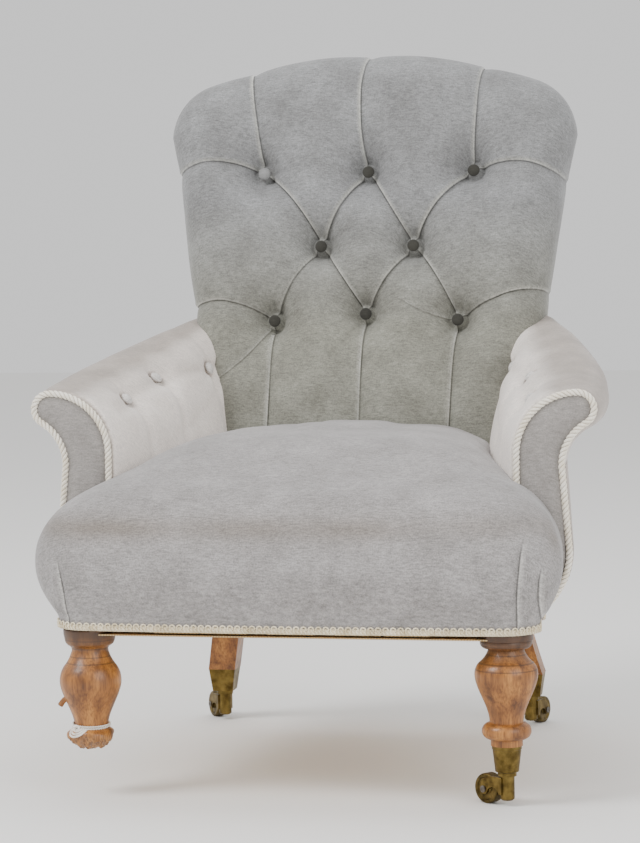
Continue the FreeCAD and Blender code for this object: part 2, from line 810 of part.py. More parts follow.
def arm_rail(post):
    start = V(SCROLL_X_FRONT - 4, ARM_FRONT_Y + STUMP_THICK, SCROLL_Z_FRONT - 8)
    z = SCROLL_Z_REAR - 16
    end = V(SCROLL_X_REAR - 10, post_front(z) + 12, z)
    bar = rod(ARM_RAIL_DIA / 2, start - (end - start) * 0.1, end)
    stump = box(0, FAR, -FAR, ARM_FRONT_Y + STUMP_THICK, 0, FAR)
    return less(bar, [stump, post, leaned(box(-FAR, FAR, 0, FAR, -FAR, FAR))])


def tacking_rail(post):
    """Low bar for the inside arm cover, from the stump back to the post."""
    z = RAIL_TOP + 28.0
    wires = []
    half = TACKING_SIZE / 2
    for x, y in ((ARM_INNER_FRONT + 22, ARM_FRONT_Y + STUMP_THICK), (BACK_BASE - BACK_WRAP - 10, ARM_REAR_Y)):
        wires.append(Part.Wire(chain([
            V(x - half, y, z), V(x + half, y, z), V(x + half, y, z + TACKING_SIZE), V(x - half, y, z + TACKING_SIZE),
            V(x - half, y, z),
        ])))
    bar = loft(wires, True)
    return less(bar, [post, leaned(box(-FAR, FAR, 0, FAR, -FAR, FAR))])


def arm_facing(rope):
    board = Part.Face(arm_wire(0, ARM_FRONT_Y - FACING_THICK, ROPE_DIA))
    return less(board.extrude(V(0, FACING_THICK, 0)), [rope])


def rope_trim():
    """Rope from between seat and arm up the facing, round the scroll and down the belly to the base."""
    inset = ROPE_DIA / 2
    edges = scroll_edges(0, inset)[0]
    waist, belly, sag, hem, foot = panel_line(0, inset)
    edges.append(segment(waist, belly))
    edges.append(arc(belly, sag, hem))
    path = Part.Wire(edges)
    path.translate(V(0, ARM_FRONT_Y - inset, 0))
    start = edges[0].Vertexes[0].Point
    ring = Part.Wire([Part.Circle(V(start.x, ARM_FRONT_Y - inset, start.z), V(0, 0, 1), ROPE_DIA / 2 - 0.02).toShape()])
    rope = path.makePipeShell([ring], True, False)
    tucked = box(0, ARM_INNER_FRONT + 2 * ROPE_DIA, -FAR, FAR, 0, RAIL_TOP + 14.0)
    return less(rope, [tucked])


def arm_button_frames(envelope):
    """Places of the buttons on the inside of the right arm, with the way each one faces."""
    frames = []
    for y, z in ARM_BUTTONS:
        line = segment(V(0, y, z), V(FAR, y, z))
        at = min(envelope.common(line).Vertexes, key=lambda vertex: vertex.X)
        kind, index, place = envelope.distToShape(at)[2][0][:3]
        frames.append((at.Point, envelope.Faces[index].normalAt(*place)))
    return frames


def dimple(at, out, depth):
    return rod(BUTTON_DIA / 2 + 0.5, at - out * depth, at + out * 40)


def button(at, out):
    """Covered button: a low dome on a flat back."""
    r = BUTTON_DIA / 2
    h = BUTTON_HEIGHT
    ball = ((r * 0.92) ** 2 + h ** 2 / 4) / h
    cap = Part.makeSphere(ball, V(0, 0, h - ball))
    rim = turned([
        segment(V(0, 0, 0), V(r * 0.94, 0, 0)),
        arc(V(r * 0.94, 0, 0), V(r, 0, h * 0.25), V(r * 0.92, 0, h * 0.5)),
        segment(V(r * 0.92, 0, h * 0.5), V(0, 0, h * 0.5)),
        segment(V(0, 0, h * 0.5), V(0, 0, 0)),
    ])
    dome = main_solid(rim.fuse(cap.common(Part.makeCylinder(2 * r, h, V(0, 0, h / 2)))).removeSplitter())
    dome.Placement = FreeCAD.Placement(at, FreeCAD.Rotation(V(0, 0, 1), out))
    return dome


# Stuffed back


def button_places():
    """Button places on the back, X and height up the rake, as three rows."""
    top = [(-ROW_TOP_X, ROW_TOP), (0.0, ROW_TOP), (ROW_TOP_X, ROW_TOP)]
    middle = [(-ROW_MIDDLE_X, ROW_MIDDLE), (ROW_MIDDLE_X, ROW_MIDDLE)]
    low = [(-ROW_LOW_X, ROW_LOW), (0.0, ROW_LOW + 8.0), (ROW_LOW_X, ROW_LOW)]
    return top, middle, low


def pleat(a, b):
    """Wedge along a fold between two places on the back."""
    start = V(a[0], -BACK_PAD + PLEAT_DEPTH, a[1])
    end = V(b[0], -BACK_PAD + PLEAT_DEPTH, b[1])
    across = (end - start).cross(V(0, 1, 0)).normalize() * (PLEAT_WIDTH / 2)
    lift = V(0, -PLEAT_DEPTH - 1, 0)
    side = face(chain([start, start + lift + across, start + lift - across, start]))
    return side.extrude(end - start)


def tufting():
    """Everything taken out of the front of the back: button pits, thread holes and folds."""
    top, middle, low = button_places()
    cuts = []
    for x, z in top + middle + low:
        pit = Part.makeCone(BUTTON_DIA / 2 + 0.5, TUFT_DIA / 2, TUFT_DEPTH, V(x, -PIT_FLOOR, z), V(0, -1, 0))
        cuts.append(pit)
        cuts.append(Part.makeCone(TUFT_DIA / 2, TUFT_DIA / 2 + 2, 3, V(x, -BACK_PAD, z), V(0, -1, 0)))
        cuts.append(rod(1.0, V(x, -PIT_FLOOR, z), V(x, 0, z)))
    folds = [(top[0], middle[0]), (top[1], middle[0]), (top[1], middle[1]), (top[2], middle[1])]
    folds += [(middle[0], low[0]), (middle[0], low[1]), (middle[1], low[1]), (middle[1], low[2])]
    for x, z in top:
        folds.append(((x, z), (x * 1.12, BACK_HEIGHT + 20)))
    for x, z in low:
        folds.append(((x, z), (x * 1.02, 60.0)))
    for sense in (-1, 1):
        folds.append(((sense * ROW_TOP_X, ROW_TOP), (sense * (BACK_WIDE + 20), ROW_TOP - 8.0)))
        folds.append(((sense * ROW_LOW_X, ROW_LOW), (sense * (BACK_WAIST + 20), ROW_LOW + 40.0)))
    cuts += [pleat(a, b) for a, b in folds]
    return cuts


def back_envelope():
    low = 1.0
    sections = [
        back_wire(8.0, low, POST_DEPTH),
        back_wire(1.0, low, POST_DEPTH * 0.1),
        back_wire(0.0, low, -BACK_PAD * 0.22),
        back_wire(9.0, low, -BACK_PAD * 0.58),
        back_wire(25.0, low, -BACK_PAD * 0.83),
        back_wire(52.0, low, -BACK_PAD),
    ]
    return loft(sections)


def back_pocket():
    """Room inside the stuffing for the back posts, rails, webbing and canvas."""
    low = RAIL_BOTTOM - RAIL_TOP
    pocket = Part.Face(back_wire(BACK_WRAP, low, -PAD_BACK))
    return pocket.extrude(V(0, POST_DEPTH + PAD_BACK + 20, 0))


def back_canvas(bars):
    """Canvas over the webbing, notched round the bars of the arms."""
    sheet = Part.Face(back_wire(BACK_WRAP + 2, 1.0, -PAD_BACK))
    return less(leaned(sheet.extrude(V(0, CANVAS, 0))), bars)


def back_webbing():
    """Straps across the front of the back frame."""
    straps = []
    heights = [STAY_AT + STAY_HEIGHT + 45.0 + step * 82.0 for step in range(4)]
    for height in heights:
        half = side_x(height - WEB_WIDTH / 2) - BACK_WRAP - 4
        straps.append(leaned(box(-half, half, -WEB_THICK, 0, height - WEB_WIDTH / 2, height + WEB_WIDTH / 2)))
    return straps


def outside_back():
    low = RAIL_BOTTOM - RAIL_TOP
    sheet = Part.Face(back_wire(8.0, low, POST_DEPTH))
    return less(leaned(sheet.extrude(V(0, COVER, 0))), [half_space(V(0, 0, RAIL_BOTTOM + 1.0), V(0, 0, -1))])


# Seat


def seat_wire(z, half, front, radius):
    """Seat outline at one height: bowed front, rounded corners, sides drawing in to the back."""
    back = BACK_Y + 40.0
    bow = V(0, front - 6.0, z)
    turn = front + radius
    slack = SIDE_TAPER * (back - turn)
    mid = radius * math.sqrt(0.5)
    right = V(half, turn, z)
    corner = V(half - radius, front, z)
    edges = [
        segment(V(half - slack, back, z), right),
        arc(right, V(half - radius + mid, turn - mid, z), corner),
        arc(corner, bow, V(-corner.x, front, z)),
        arc(V(-corner.x, front, z), V(-half + radius - mid, turn - mid, z), V(-half, turn, z)),
        segment(V(-half, turn, z), V(-half + slack, back, z)),
        segment(V(-half + slack, back, z), V(half - slack, back, z)),
    ]
    return Part.Wire(edges)


def seat_base_wire(out):
    foot = RAIL_BOTTOM + 1.0
    return seat_wire(foot, SEAT_BASE + out, SEAT_FRONT + SEAT_SETBACK - out, SEAT_CORNER + out)


def seat_envelope():
    """Plain hem behind the gimp, then the bellied border rolling over into the domed top."""
    hem = RAIL_BOTTOM + 1.0 + GIMP_HEIGHT + 1.0
    foot = Part.Face(seat_base_wire(0)).extrude(V(0, 0, hem - RAIL_BOTTOM - 1.0))
    rise = SEAT_CROWN - SEAT_BULGE_Z
    belly = SEAT_BULGE_Z - hem
    wires = [
        seat_wire(hem, SEAT_BASE, SEAT_FRONT + SEAT_SETBACK, SEAT_CORNER),
        seat_wire(hem + belly * 0.45, SEAT_WIDE - 9, SEAT_FRONT + 7, 55.0),
        seat_wire(SEAT_BULGE_Z, SEAT_WIDE, SEAT_FRONT, 60.0),
        seat_wire(SEAT_BULGE_Z + rise * 0.26, SEAT_WIDE - 8, SEAT_FRONT + 8, 62.0),
        seat_wire(SEAT_BULGE_Z + rise * 0.49, SEAT_WIDE - 31, SEAT_FRONT + 36, 66.0),
        seat_wire(SEAT_BULGE_Z + rise * 0.65, SEAT_WIDE - 66, SEAT_FRONT + 86, 70.0),
        seat_wire(SEAT_BULGE_Z + rise * 0.85, SEAT_WIDE - 121, SEAT_FRONT + 156, 70.0),
        seat_wire(SEAT_BULGE_Z + rise * 0.96, SEAT_WIDE - 191, SEAT_FRONT + 240, 56.0),
        seat_wire(SEAT_CROWN, SEAT_WIDE - 246, SEAT_FRONT + 310, 20.0),
    ]
    return main_solid(foot.fuse(loft(wires)))


def arm_block():
    """Everything outboard of the inside of the right arm and behind the rope, where the seat stops."""
    front = ARM_FRONT_Y - ROPE_DIA - 0.3
    line = [V(ARM_INNER_FRONT - 0.3, front, 0), V(ARM_INNER_REAR, ARM_REAR_Y, 0)]
    return prism([line[0], V(FAR, front, 0), V(FAR, ARM_REAR_Y, 0), line[1]], V(0, 0, FAR))


def frame_block():
    """Space taken up by the rails and leg heads under the seat stuffing."""
    far = 400.0
    plan = [
        V(-HEAD_OUT, HEAD_FRONT, 0), V(HEAD_OUT, HEAD_FRONT, 0), V(HEAD_OUT, HEAD_BACK, 0), V(side_line(far), far, 0),
        V(-side_line(far), far, 0), V(-HEAD_OUT, HEAD_BACK, 0),
    ]
    return prism(plan, V(0, 0, RAIL_TOP))


def canvas_hat(drop):
    """Frustum under the stuffing; the canvas stretched over the springs is its skin."""
    low = RAIL_TOP
    high = SPRING_TOP + CANVAS - drop
    front = HEAD_FRONT + RAIL_THICK - 10 + drop
    back = BACK_Y
    wires = []
    for z, shrink in ((low, 0.0), (high, 42.0)):
        x0 = side_line(front) - RAIL_THICK + 10 - drop - shrink
        x1 = side_line(back) - RAIL_THICK + 10 - drop - shrink
        y0 = front + shrink * 1.3
        wires.append(Part.Wire(chain([V(-x0, y0, z), V(x0, y0, z), V(x1, back, z), V(-x1, back, z), V(-x0, y0, z)])))
    return loft(wires, True)


def coil_spring(x, y):
    """Hourglass spring standing on the webbing, its pitch closing up at both ends."""
    low = RAIL_BOTTOM + SPRING_WIRE / 2
    high = SPRING_TOP - SPRING_WIRE / 2
    wide = (SPRING_DIA - SPRING_WIRE) / 2
    waist = (SPRING_WAIST - SPRING_WIRE) / 2
    steps = 12 * SPRING_TURNS
    points = []
    for step in range(steps + 1):
        share = step / steps
        turn = 2 * math.pi * SPRING_TURNS * share
        radius = waist + (wide - waist) * (2 * share - 1) ** 2
        rise = share - 0.8 * math.sin(2 * math.pi * share) / (2 * math.pi)
        points.append(V(x + radius * math.cos(turn), y + radius * math.sin(turn), low + (high - low) * rise))
    path = spline(points)
    start = path.tangentAt(path.FirstParameter)
    ring = Part.Wire([Part.Circle(points[0], start, SPRING_WIRE / 2).toShape()])
    return main_solid(Part.Wire([path]).makePipeShell([ring], True, True))


def strap_path(stops, start, end, over_first):
    """Middle heights of a woven strap: up at its ends and at every other crossing, down between."""
    up = RAIL_BOTTOM - WEB_THICK / 2
    down = up - WEB_THICK
    points = [(start, up)]
    over = over_first
    for stop in stops:
        z = up if over else down
        points.append((stop - WEB_WIDTH / 2 - 1, z))
        points.append((stop + WEB_WIDTH / 2 + 1, z))
        over = not over
    points.append((end, up))
    return points


def strap(points, middle, along_y):
    half = WEB_THICK / 2
    upper = [(s, z + half) for s, z in points]
    lower = [(s, z - half) for s, z in reversed(points)]
    outline = upper + lower
    w = WEB_WIDTH / 2
    if along_y:
        return prism([V(middle - w, s, z) for s, z in outline], V(WEB_WIDTH, 0, 0))
    return prism([V(s, middle - w, z) for s, z in outline], V(0, WEB_WIDTH, 0))


def web_columns():
    return [SPRING_PITCH_X * step for step in (-1.72, -1, 0, 1, 1.72)]


def web_rows():
    return [SPRING_MID_Y + SPRING_PITCH_Y * step for step in (-1, 0, 1, 2)]


def seat_webbing():
    straps = []
    columns = web_columns()
    rows = web_rows()
    back = post_front(RAIL_BOTTOM) + POST_DEPTH / math.cos(RAKE) - 12
    for i, x in enumerate(columns):
        straps.append(strap(strap_path(rows, HEAD_FRONT + 6, back, i % 2 == 0), x, True))
    for j, y in enumerate(rows):
        end = side_line(y + WEB_WIDTH / 2) - 8
        straps.append(strap(strap_path(columns, -end, end, j % 2 == 1), y, False))
    return straps


def bottom_cloth(legs):
    top = RAIL_BOTTOM - 2 * WEB_THICK
    back = post_front(RAIL_BOTTOM) + POST_DEPTH / math.cos(RAKE) - 6
    margin = 5.0
    plan = [
        V(-HEAD_OUT + margin, HEAD_FRONT + margin, top), V(HEAD_OUT - margin, HEAD_FRONT + margin, top),
        V(HEAD_OUT - margin, HEAD_BACK, top), V(side_line(back) - margin, back, top),
        V(-side_line(back) + margin, back, top), V(-HEAD_OUT + margin, HEAD_BACK, top),
    ]
    return less(prism(plan, V(0, 0, -CANVAS)), legs)


def gimp_pieces():
    """Braid along the bottom edge: round the seat front, along each side, across the back."""
    foot = RAIL_BOTTOM + 1.0
    lift = V(0, 0, GIMP_HEIGHT)
    rope_front = ARM_FRONT_Y - ROPE_DIA - 0.3
    ring = Part.Face(seat_base_wire(GIMP_THICK)).cut(Part.Face(seat_base_wire(0.0)))
    front = ring.extrude(lift).cut(box(-FAR, FAR, rope_front, FAR, 0, FAR))
    plan = []
    for share in (0, 1):
        plan.append(panel_line(share, 0.0)[4] + V(0, arm_y(share), 0))
    out = V(GIMP_THICK, 0, 0)
    side = prism([plan[0], plan[0] + out, plan[1] + out, plan[1]], lift)
    side = less(side, [leaned(box(-FAR, FAR, POST_DEPTH + COVER, FAR, -FAR, FAR))])
    half = BACK_BASE - 6.0
    low = RAIL_BOTTOM - RAIL_TOP + 8.0
    back = leaned(box(-half, half, POST_DEPTH + COVER, POST_DEPTH + COVER + GIMP_THICK, low, low + GIMP_HEIGHT))
    return [main_solid(front), side, mirrored(side), back]


def build():
    os.makedirs("parts", exist_ok=True)
    right_leg = front_leg()
    left_leg = broken_leg()
    right_post = rear_leg()
    posts = [right_post, mirrored(right_post)]
    right_rail = side_rail(right_post)
    rail_front = front_rail()
    rail_rear = rear_rail(posts)
    save("front_leg_right", [right_leg])
    save("front_leg_left", [left_leg])
    save("string_tie", string_tie())
    save("rear_leg_right", [posts[0]])
    save("rear_leg_left", [posts[1]])
    save("seat_rail_right", [right_rail])
    save("seat_rail_left", [mirrored(right_rail)])
    save("seat_rail_front", [rail_front])
    save("seat_rail_rear", [rail_rear])
    blocks = corner_blocks(right_rail, right_post, right_leg, [rail_front, rail_rear])
    save("corner_blocks", blocks)
    save("back_crest_rail", [crest_rail()])
    stay = stay_rail(posts)
    save("back_stay_rail", [stay])

    panel = outside_arm()
    stump = arm_stump(right_rail, panel)
    top_rail = arm_rail(right_post)
    low_rail = tacking_rail(right_post)
    bars = [top_rail, low_rail, mirrored(top_rail), mirrored(low_rail)]
    rear_canvas = back_canvas(bars)
    rear_webbing = back_webbing()
    hat = canvas_hat(0.0)
    envelope = arm_envelope()
    frames = arm_button_frames(envelope)
    arm_tools = [stump, top_rail, low_rail, panel, arm_hollow(), right_rail, right_post, hat, rear_canvas]
    arm_tools += rear_webbing
    arm_tools += [dimple(at, out, ARM_BUTTON_SINK) for at, out in frames]
    arm = less(envelope, arm_tools)
    arm_buttons = [button(at - out * ARM_BUTTON_SINK, out) for at, out in frames]
    rope = rope_trim()
    back_outer = leaned(back_envelope())
    beyond = leaned(box(-FAR, FAR, POST_DEPTH, FAR, -FAR, FAR))
    panel = less(panel, [back_outer, beyond, right_post, right_rail])
    right_side = {
        "arm_stump": [stump],
        "arm_rail": [top_rail],
        "arm_tacking_rail": [low_rail],
        "arm_pad": [arm],
        "arm_facing": [arm_facing(rope)],
        "arm_outside": [panel],
        "arm_rope": [rope],
        "arm_buttons": arm_buttons,
    }
    for node, solids in right_side.items():
        save(node + "_right", solids)
        save(node + "_left", [mirrored(solid) for solid in solids])

    cuts = [leaned(cut) for cut in tufting() + [back_pocket()]]
    both_arms = [envelope, mirrored(envelope)]
    back = less(back_outer, both_arms + posts + cuts)
    top, middle, low = button_places()
    buttons = []
    threads = []
    for x, z in top + middle + low:
        buttons.append(leaned(button(V(x, -PIT_FLOOR, z), V(0, -1, 0))))
        threads.append(leaned(rod(0.8, V(x, -PIT_FLOOR, z), V(x, -PAD_BACK, z))))
    save("back_pad", [back])
    save("back_buttons", buttons)
    save("button_threads", threads)
    save("back_canvas", [rear_canvas])
    save("back_webbing", rear_webbing)
    save("back_outside", [outside_back()])

    sides = [arm_block(), mirrored(arm_block())]
    seat = less(seat_envelope(), sides + both_arms + [frame_block(), hat, back_outer])
    canvas = less(hat, [canvas_hat(CANVAS), back_outer] + posts)
    springs = []
    for x, row in ((-1, -1), (1, -1), (0, 0), (-1, 1), (1, 1)):
        springs.append(coil_spring(x * SPRING_PITCH_X, SPRING_MID_Y + row * SPRING_PITCH_Y))
    save("seat_pad", [seat])
    save("seat_canvas", [canvas])
    save("seat_springs", springs)
    save("seat_webbing", seat_webbing())
    save("bottom_cloth", [bottom_cloth([right_leg, left_leg] + posts)])
    save("gimp_braid", gimp_pieces())

    place_castor("front_right", FRONT_LEG_X, FRONT_LEG_Y, FRONT_HEADING, False)
    place_castor("rear_left", -REAR_FOOT_X, REAR_FOOT_Y, REAR_LEFT_HEADING, True)
    place_castor("rear_right", REAR_FOOT_X, REAR_FOOT_Y, REAR_RIGHT_HEADING, True)


build()
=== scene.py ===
"""Looks of the button-back lady chair: velvet, rope, braid, turned walnut and tarnished brass."""
from math import asin, atan2, cos, hypot, pi, radians, sin

import bmesh
import bpy
import numpy as np
from mathutils import Matrix, Vector, noise
from mathutils.kdtree import KDTree


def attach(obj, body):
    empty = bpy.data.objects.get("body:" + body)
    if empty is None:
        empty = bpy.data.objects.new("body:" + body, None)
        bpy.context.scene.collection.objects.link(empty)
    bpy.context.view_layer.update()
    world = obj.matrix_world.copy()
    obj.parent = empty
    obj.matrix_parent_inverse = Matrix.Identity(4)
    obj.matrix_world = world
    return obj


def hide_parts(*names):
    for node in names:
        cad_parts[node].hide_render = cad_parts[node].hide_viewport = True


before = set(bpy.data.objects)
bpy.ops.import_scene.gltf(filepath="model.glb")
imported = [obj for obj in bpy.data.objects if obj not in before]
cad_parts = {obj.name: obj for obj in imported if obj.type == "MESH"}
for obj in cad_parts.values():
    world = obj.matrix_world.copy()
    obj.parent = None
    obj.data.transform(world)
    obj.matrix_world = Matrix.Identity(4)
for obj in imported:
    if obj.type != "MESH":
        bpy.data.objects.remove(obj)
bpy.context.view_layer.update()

MM = 0.001
MIRROR = np.array([-1, 1])
SENSE = {"left": -1, "right": 1}

# Sizes in millimetres, and angles, that follow the CAD form
RAIL_BOTTOM = 187.0
RAIL_TOP = 265.0
FRONT_LEG_X = 231.0
FRONT_LEG_Y = -262.4
BACK_RAKE = radians(10.0)
BACK_Y = 187.6
POST_DEPTH = 32.0
BACK_HEIGHT = 580.0
BACK_WIDE = 257.0
BACK_WIDE_AT = 477.0
BACK_WAIST = 223.0
BACK_WAIST_AT = 250.0
BACK_BASE = 208.0
SHOULDER_X = 205.0
SHOULDER_AT = 545.0
BACK_PAD = 70.0
BACK_ROLL = 58.0
BACK_WIDEST = -14.0
BACK_WRAP = 19.0
POCKET = -4.5
BUTTON_SINK = 34.0
ROW_TOP = 427.0
ROW_MIDDLE = 334.0
ROW_LOW = 241.0
LOW_MIDDLE_RISE = 8.0
ROW_TOP_X = 132.0
ROW_MIDDLE_X = 58.0
ROW_LOW_X = 115.0
BUTTON_DIA = 15.0
ARM_FRONT_Y = -165.4
ARM_INNER = 228.0
SCROLL_X = 300.0
SCROLL_Z = 422.0
SCROLL_R = 22.0
WAIST_X = 286.0
TUCK_ANGLE = radians(60.0)
ARM_BASE_FRONT = 260.0
ARM_BASE_REAR = 205.0
ARM_BELLY = 8.0
ARM_LENGTH = 402.0
ROPE_DIA = 8.0
SEAT_BASE = 266.0
SEAT_FRONT = -315.5
SEAT_SETBACK = 20.0
SEAT_CORNER = 42.0
SIDE_TAPER = 0.126
GIMP_HEIGHT = 10.0
COVER = 3.0
ANKLE_Z = 91.0
ANKLE_R = 18.3
STRING_DIA = 2.4

# Sizes of the looks alone, in millimetres
LEG_DROP = 15.0
TURNED_LINES = (174.8, 165.0, 156.0, 149.0)
TURNED_LINE_WIDTH = 1.4
ROPE_LAY = 17.0
STRING_LAY = 6.0
BRAID_PITCH = 8.0
GIMP_FOOT = RAIL_BOTTOM + 1.0
SEAT_QUAD = 4.5
ARM_QUAD = 4.0
FACING_QUAD = 2.4
LEG_QUAD = 1.9


# Small tools


def linear(code):
    """Linear colour from an sRGB hex value."""
    values = []
    for start in (1, 3, 5):
        c = int(code[start:start + 2], 16) / 255
        values.append(c / 12.92 if c <= 0.04045 else ((c + 0.055) / 1.055) ** 2.4)
    return (*values, 1.0)


def put(name, data):
    obj = bpy.data.objects.new(name, data)
    bpy.context.collection.objects.link(obj)
    return obj


def mesh_object(name, bm):
    mesh = bpy.data.meshes.new(name)
    bm.to_mesh(mesh)
    return put(name, mesh)


def piece(name, bm, material, node):
    """Finish a bmesh as a piece that rides on the chair and stands for one CAD node."""
    obj = mesh_object(name, bm)
    bm.free()
    obj.data.materials.append(material)
    obj.data.shade_smooth()
    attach(obj, "chair")
    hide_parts(node)
    return obj


def coordinates(bm):
    return np.array([v.co[:] for v in bm.verts])


def normals_of(bm):
    bm.normal_update()
    return np.array([v.normal[:] for v in bm.verts])


def face_out(bm):
    bmesh.ops.recalc_face_normals(bm, faces=bm.faces)


def place(bm, points):
    for vert, point in zip(bm.verts, points):
        vert.co = point


def set_attribute(obj, name, values):
    layer = obj.data.attributes.new(name, "FLOAT", "POINT")
    layer.data.foreach_set("value", np.asarray(values, dtype=np.float32))


def sharpen(bm, degrees):
    """Keep edges crisp that turn by more than an angle."""
    limit = radians(degrees)
    for edge in bm.edges:
        edge.smooth = edge.calc_face_angle(pi) < limit


def cad_copy(node):
    """Merged copy of a CAD node's mesh."""
    bm = bmesh.new()
    bm.from_mesh(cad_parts[node].data)
    bmesh.ops.remove_doubles(bm, verts=bm.verts, dist=0.00002)
    return bm


def remeshed(bm, quad):
    """The bmesh rebuilt as even quads of one size, in millimetres."""
    draft = mesh_object("draft", bm)
    bm.free()
    modifier = draft.modifiers.new("even", "REMESH")
    modifier.mode = "VOXEL"
    modifier.voxel_size = quad * MM
    made = bpy.data.meshes.new_from_object(draft.evaluated_get(bpy.context.evaluated_depsgraph_get()))
    even = bmesh.new()
    even.from_mesh(made)
    bpy.data.objects.remove(draft)
    return even


def smooth(bm, times):
    for _ in range(times):
        bmesh.ops.smooth_vert(
            bm, verts=bm.verts, factor=0.5, use_axis_x=True, use_axis_y=True, use_axis_z=True)


def grid_cut(bm, step, axes="xyz"):
    """Cut every face along planes a step apart, so that a flat cover can sag."""
    points = coordinates(bm)
    for axis in axes:
        index = "xyz".index(axis)
        normal = Vector((0, 0, 0))
        normal[index] = 1
        low, high = points[:, index].min(), points[:, index].max()
        for k in range(1, int((high - low) / step) + 1):
            at = normal * (low + k * step)
            everything = bm.verts[:] + bm.edges[:] + bm.faces[:]
            bmesh.ops.bisect_plane(bm, geom=everything, plane_co=at, plane_no=normal)


def plump(bm, cap, pressure, held):
    """Blow a closed pad up as cloth, no point going further than the cap; held is 1 where it stays."""
    start = coordinates(bm)
    draft = mesh_object("draft", bm)
    cloth = draft.modifiers.new("cloth", "CLOTH")
    settings = cloth.settings
    settings.quality = 4
    settings.mass = 0.25
    settings.tension_stiffness = 12
    settings.compression_stiffness = 12
    settings.bending_stiffness = 0.6
    settings.use_pressure = True
    settings.uniform_pressure_force = pressure
    settings.effector_weights.gravity = 0
    cloth.collision_settings.use_self_collision = False
    last = 20
    cloth.point_cache.frame_start = 1
    cloth.point_cache.frame_end = last
    for step in range(1, last + 1):
        bpy.context.scene.frame_set(step)
    result = draft.evaluated_get(bpy.context.evaluated_depsgraph_get()).to_mesh()
    moved = np.empty(len(result.vertices) * 3)
    result.vertices.foreach_get("co", moved)
    shift = moved.reshape(-1, 3) - start
    length = norms(shift)
    shift *= (np.minimum(length, cap) / np.maximum(length, 1e-9))[:, None]
    shift *= (1 - held)[:, None]
    place(bm, start + shift)
    bpy.data.objects.remove(draft)
    bpy.context.scene.frame_set(1)


def norms(rows):
    return np.linalg.norm(rows, axis=1)


def bump(distance, width):
    """Soft hill of height one that falls off over a width."""
    return np.exp(-(distance / width) ** 2)


def ease(low, high, value):
    """Smooth step from nought at low to one at high."""
    t = np.clip((value - low) / (high - low), 0, 1)
    return t * t * (3 - 2 * t)


def waves(points, size, seed):
    """Slow unevenness of a stuffed cover, from about -1 to 1, with hills of one size."""
    shift = Vector((seed, seed * 2.7, -seed))
    return np.array([noise.noise(Vector(p) / size + shift) for p in points])


def flat_waves(flat, level, size, seed):
    """The same unevenness for places on a flat drawing."""
    return waves(np.column_stack([flat, np.full(len(flat), level)]), size, seed)


# Material tools


def new_material(name, **sockets):
    material = bpy.data.materials.new(name)
    material.use_nodes = True
    tree = material.node_tree
    shader = tree.nodes["Principled BSDF"]
    for socket, value in sockets.items():
        shader.inputs[socket.replace("_", " ")].default_value = value
    return material, tree, shader


def add(tree, kind, inputs=None, **settings):
    """Add a node with its settings; an input is a value or another node's output."""
    node = tree.nodes.new("ShaderNode" + kind)
    for name, value in settings.items():
        setattr(node, name, value)
    for name, value in (inputs or {}).items():
        if isinstance(value, bpy.types.NodeSocket):
            tree.links.new(value, node.inputs[name])
        else:
            node.inputs[name].default_value = value
    return node


def own_place(tree):
    return add(tree, "TexCoord").outputs["Object"]


def height_of(tree, where):
    return add(tree, "SeparateXYZ", {"Vector": where}).outputs["Z"]


def attribute(tree, name):
    return add(tree, "Attribute", attribute_name=name).outputs["Fac"]


def maths(tree, operation, *values, **settings):
    inputs = dict(enumerate(values))
    return add(tree, "Math", inputs, operation=operation, **settings).outputs["Value"]


def mix(tree, factor, a, b, blend="MIX"):
    """Colour b over colour a, by a factor."""
    inputs = {"Factor": factor, "A": a, "B": b}
    return add(tree, "Mix", inputs, data_type="RGBA", blend_type=blend).outputs["Result"]


def ramp(tree, value, stops):
    """Colour for a value, from stops of (place, hex) pairs."""
    node = add(tree, "ValToRGB", {"Fac": value})
    elements = node.color_ramp.elements
    while len(elements) < len(stops):
        elements.new(0.5)
    for element, (at, code) in zip(elements, stops):
        element.position = at
        element.color = linear(code)
    return node.outputs["Color"]


def between(tree, value, low, high, start=0.0, end=1.0):
    """Value turned from the range low to high into start to end."""
    inputs = {"Value": value, "From Min": low, "From Max": high, "To Min": start, "To Max": end}
    return add(tree, "MapRange", inputs).outputs["Result"]


def blotches(tree, where, size, detail=2.0, **more):
    """Noise in blotches of about one size, in metres."""
    inputs = {"Vector": where, "Scale": 1 / size, "Detail": detail, **more}
    return add(tree, "TexNoise", inputs).outputs["Fac"]


def drawn_out(tree, where, cell, detail):
    """Noise drawn out along the axes, in cells of three sizes in metres."""
    scale = tuple(1 / size for size in cell)
    stretched = add(tree, "Mapping", {"Vector": where, "Scale": scale}).outputs["Vector"]
    return blotches(tree, stretched, 1.0, detail)


def surface(tree, shader, colour, height, strength, depth):
    """Give the shader its colour and a fine relief."""
    tree.links.new(colour, shader.inputs["Base Color"])
    relief = add(tree, "Bump", {"Strength": strength, "Distance": depth, "Height": height})
    tree.links.new(relief.outputs["Normal"], shader.inputs["Normal"])


# Materials


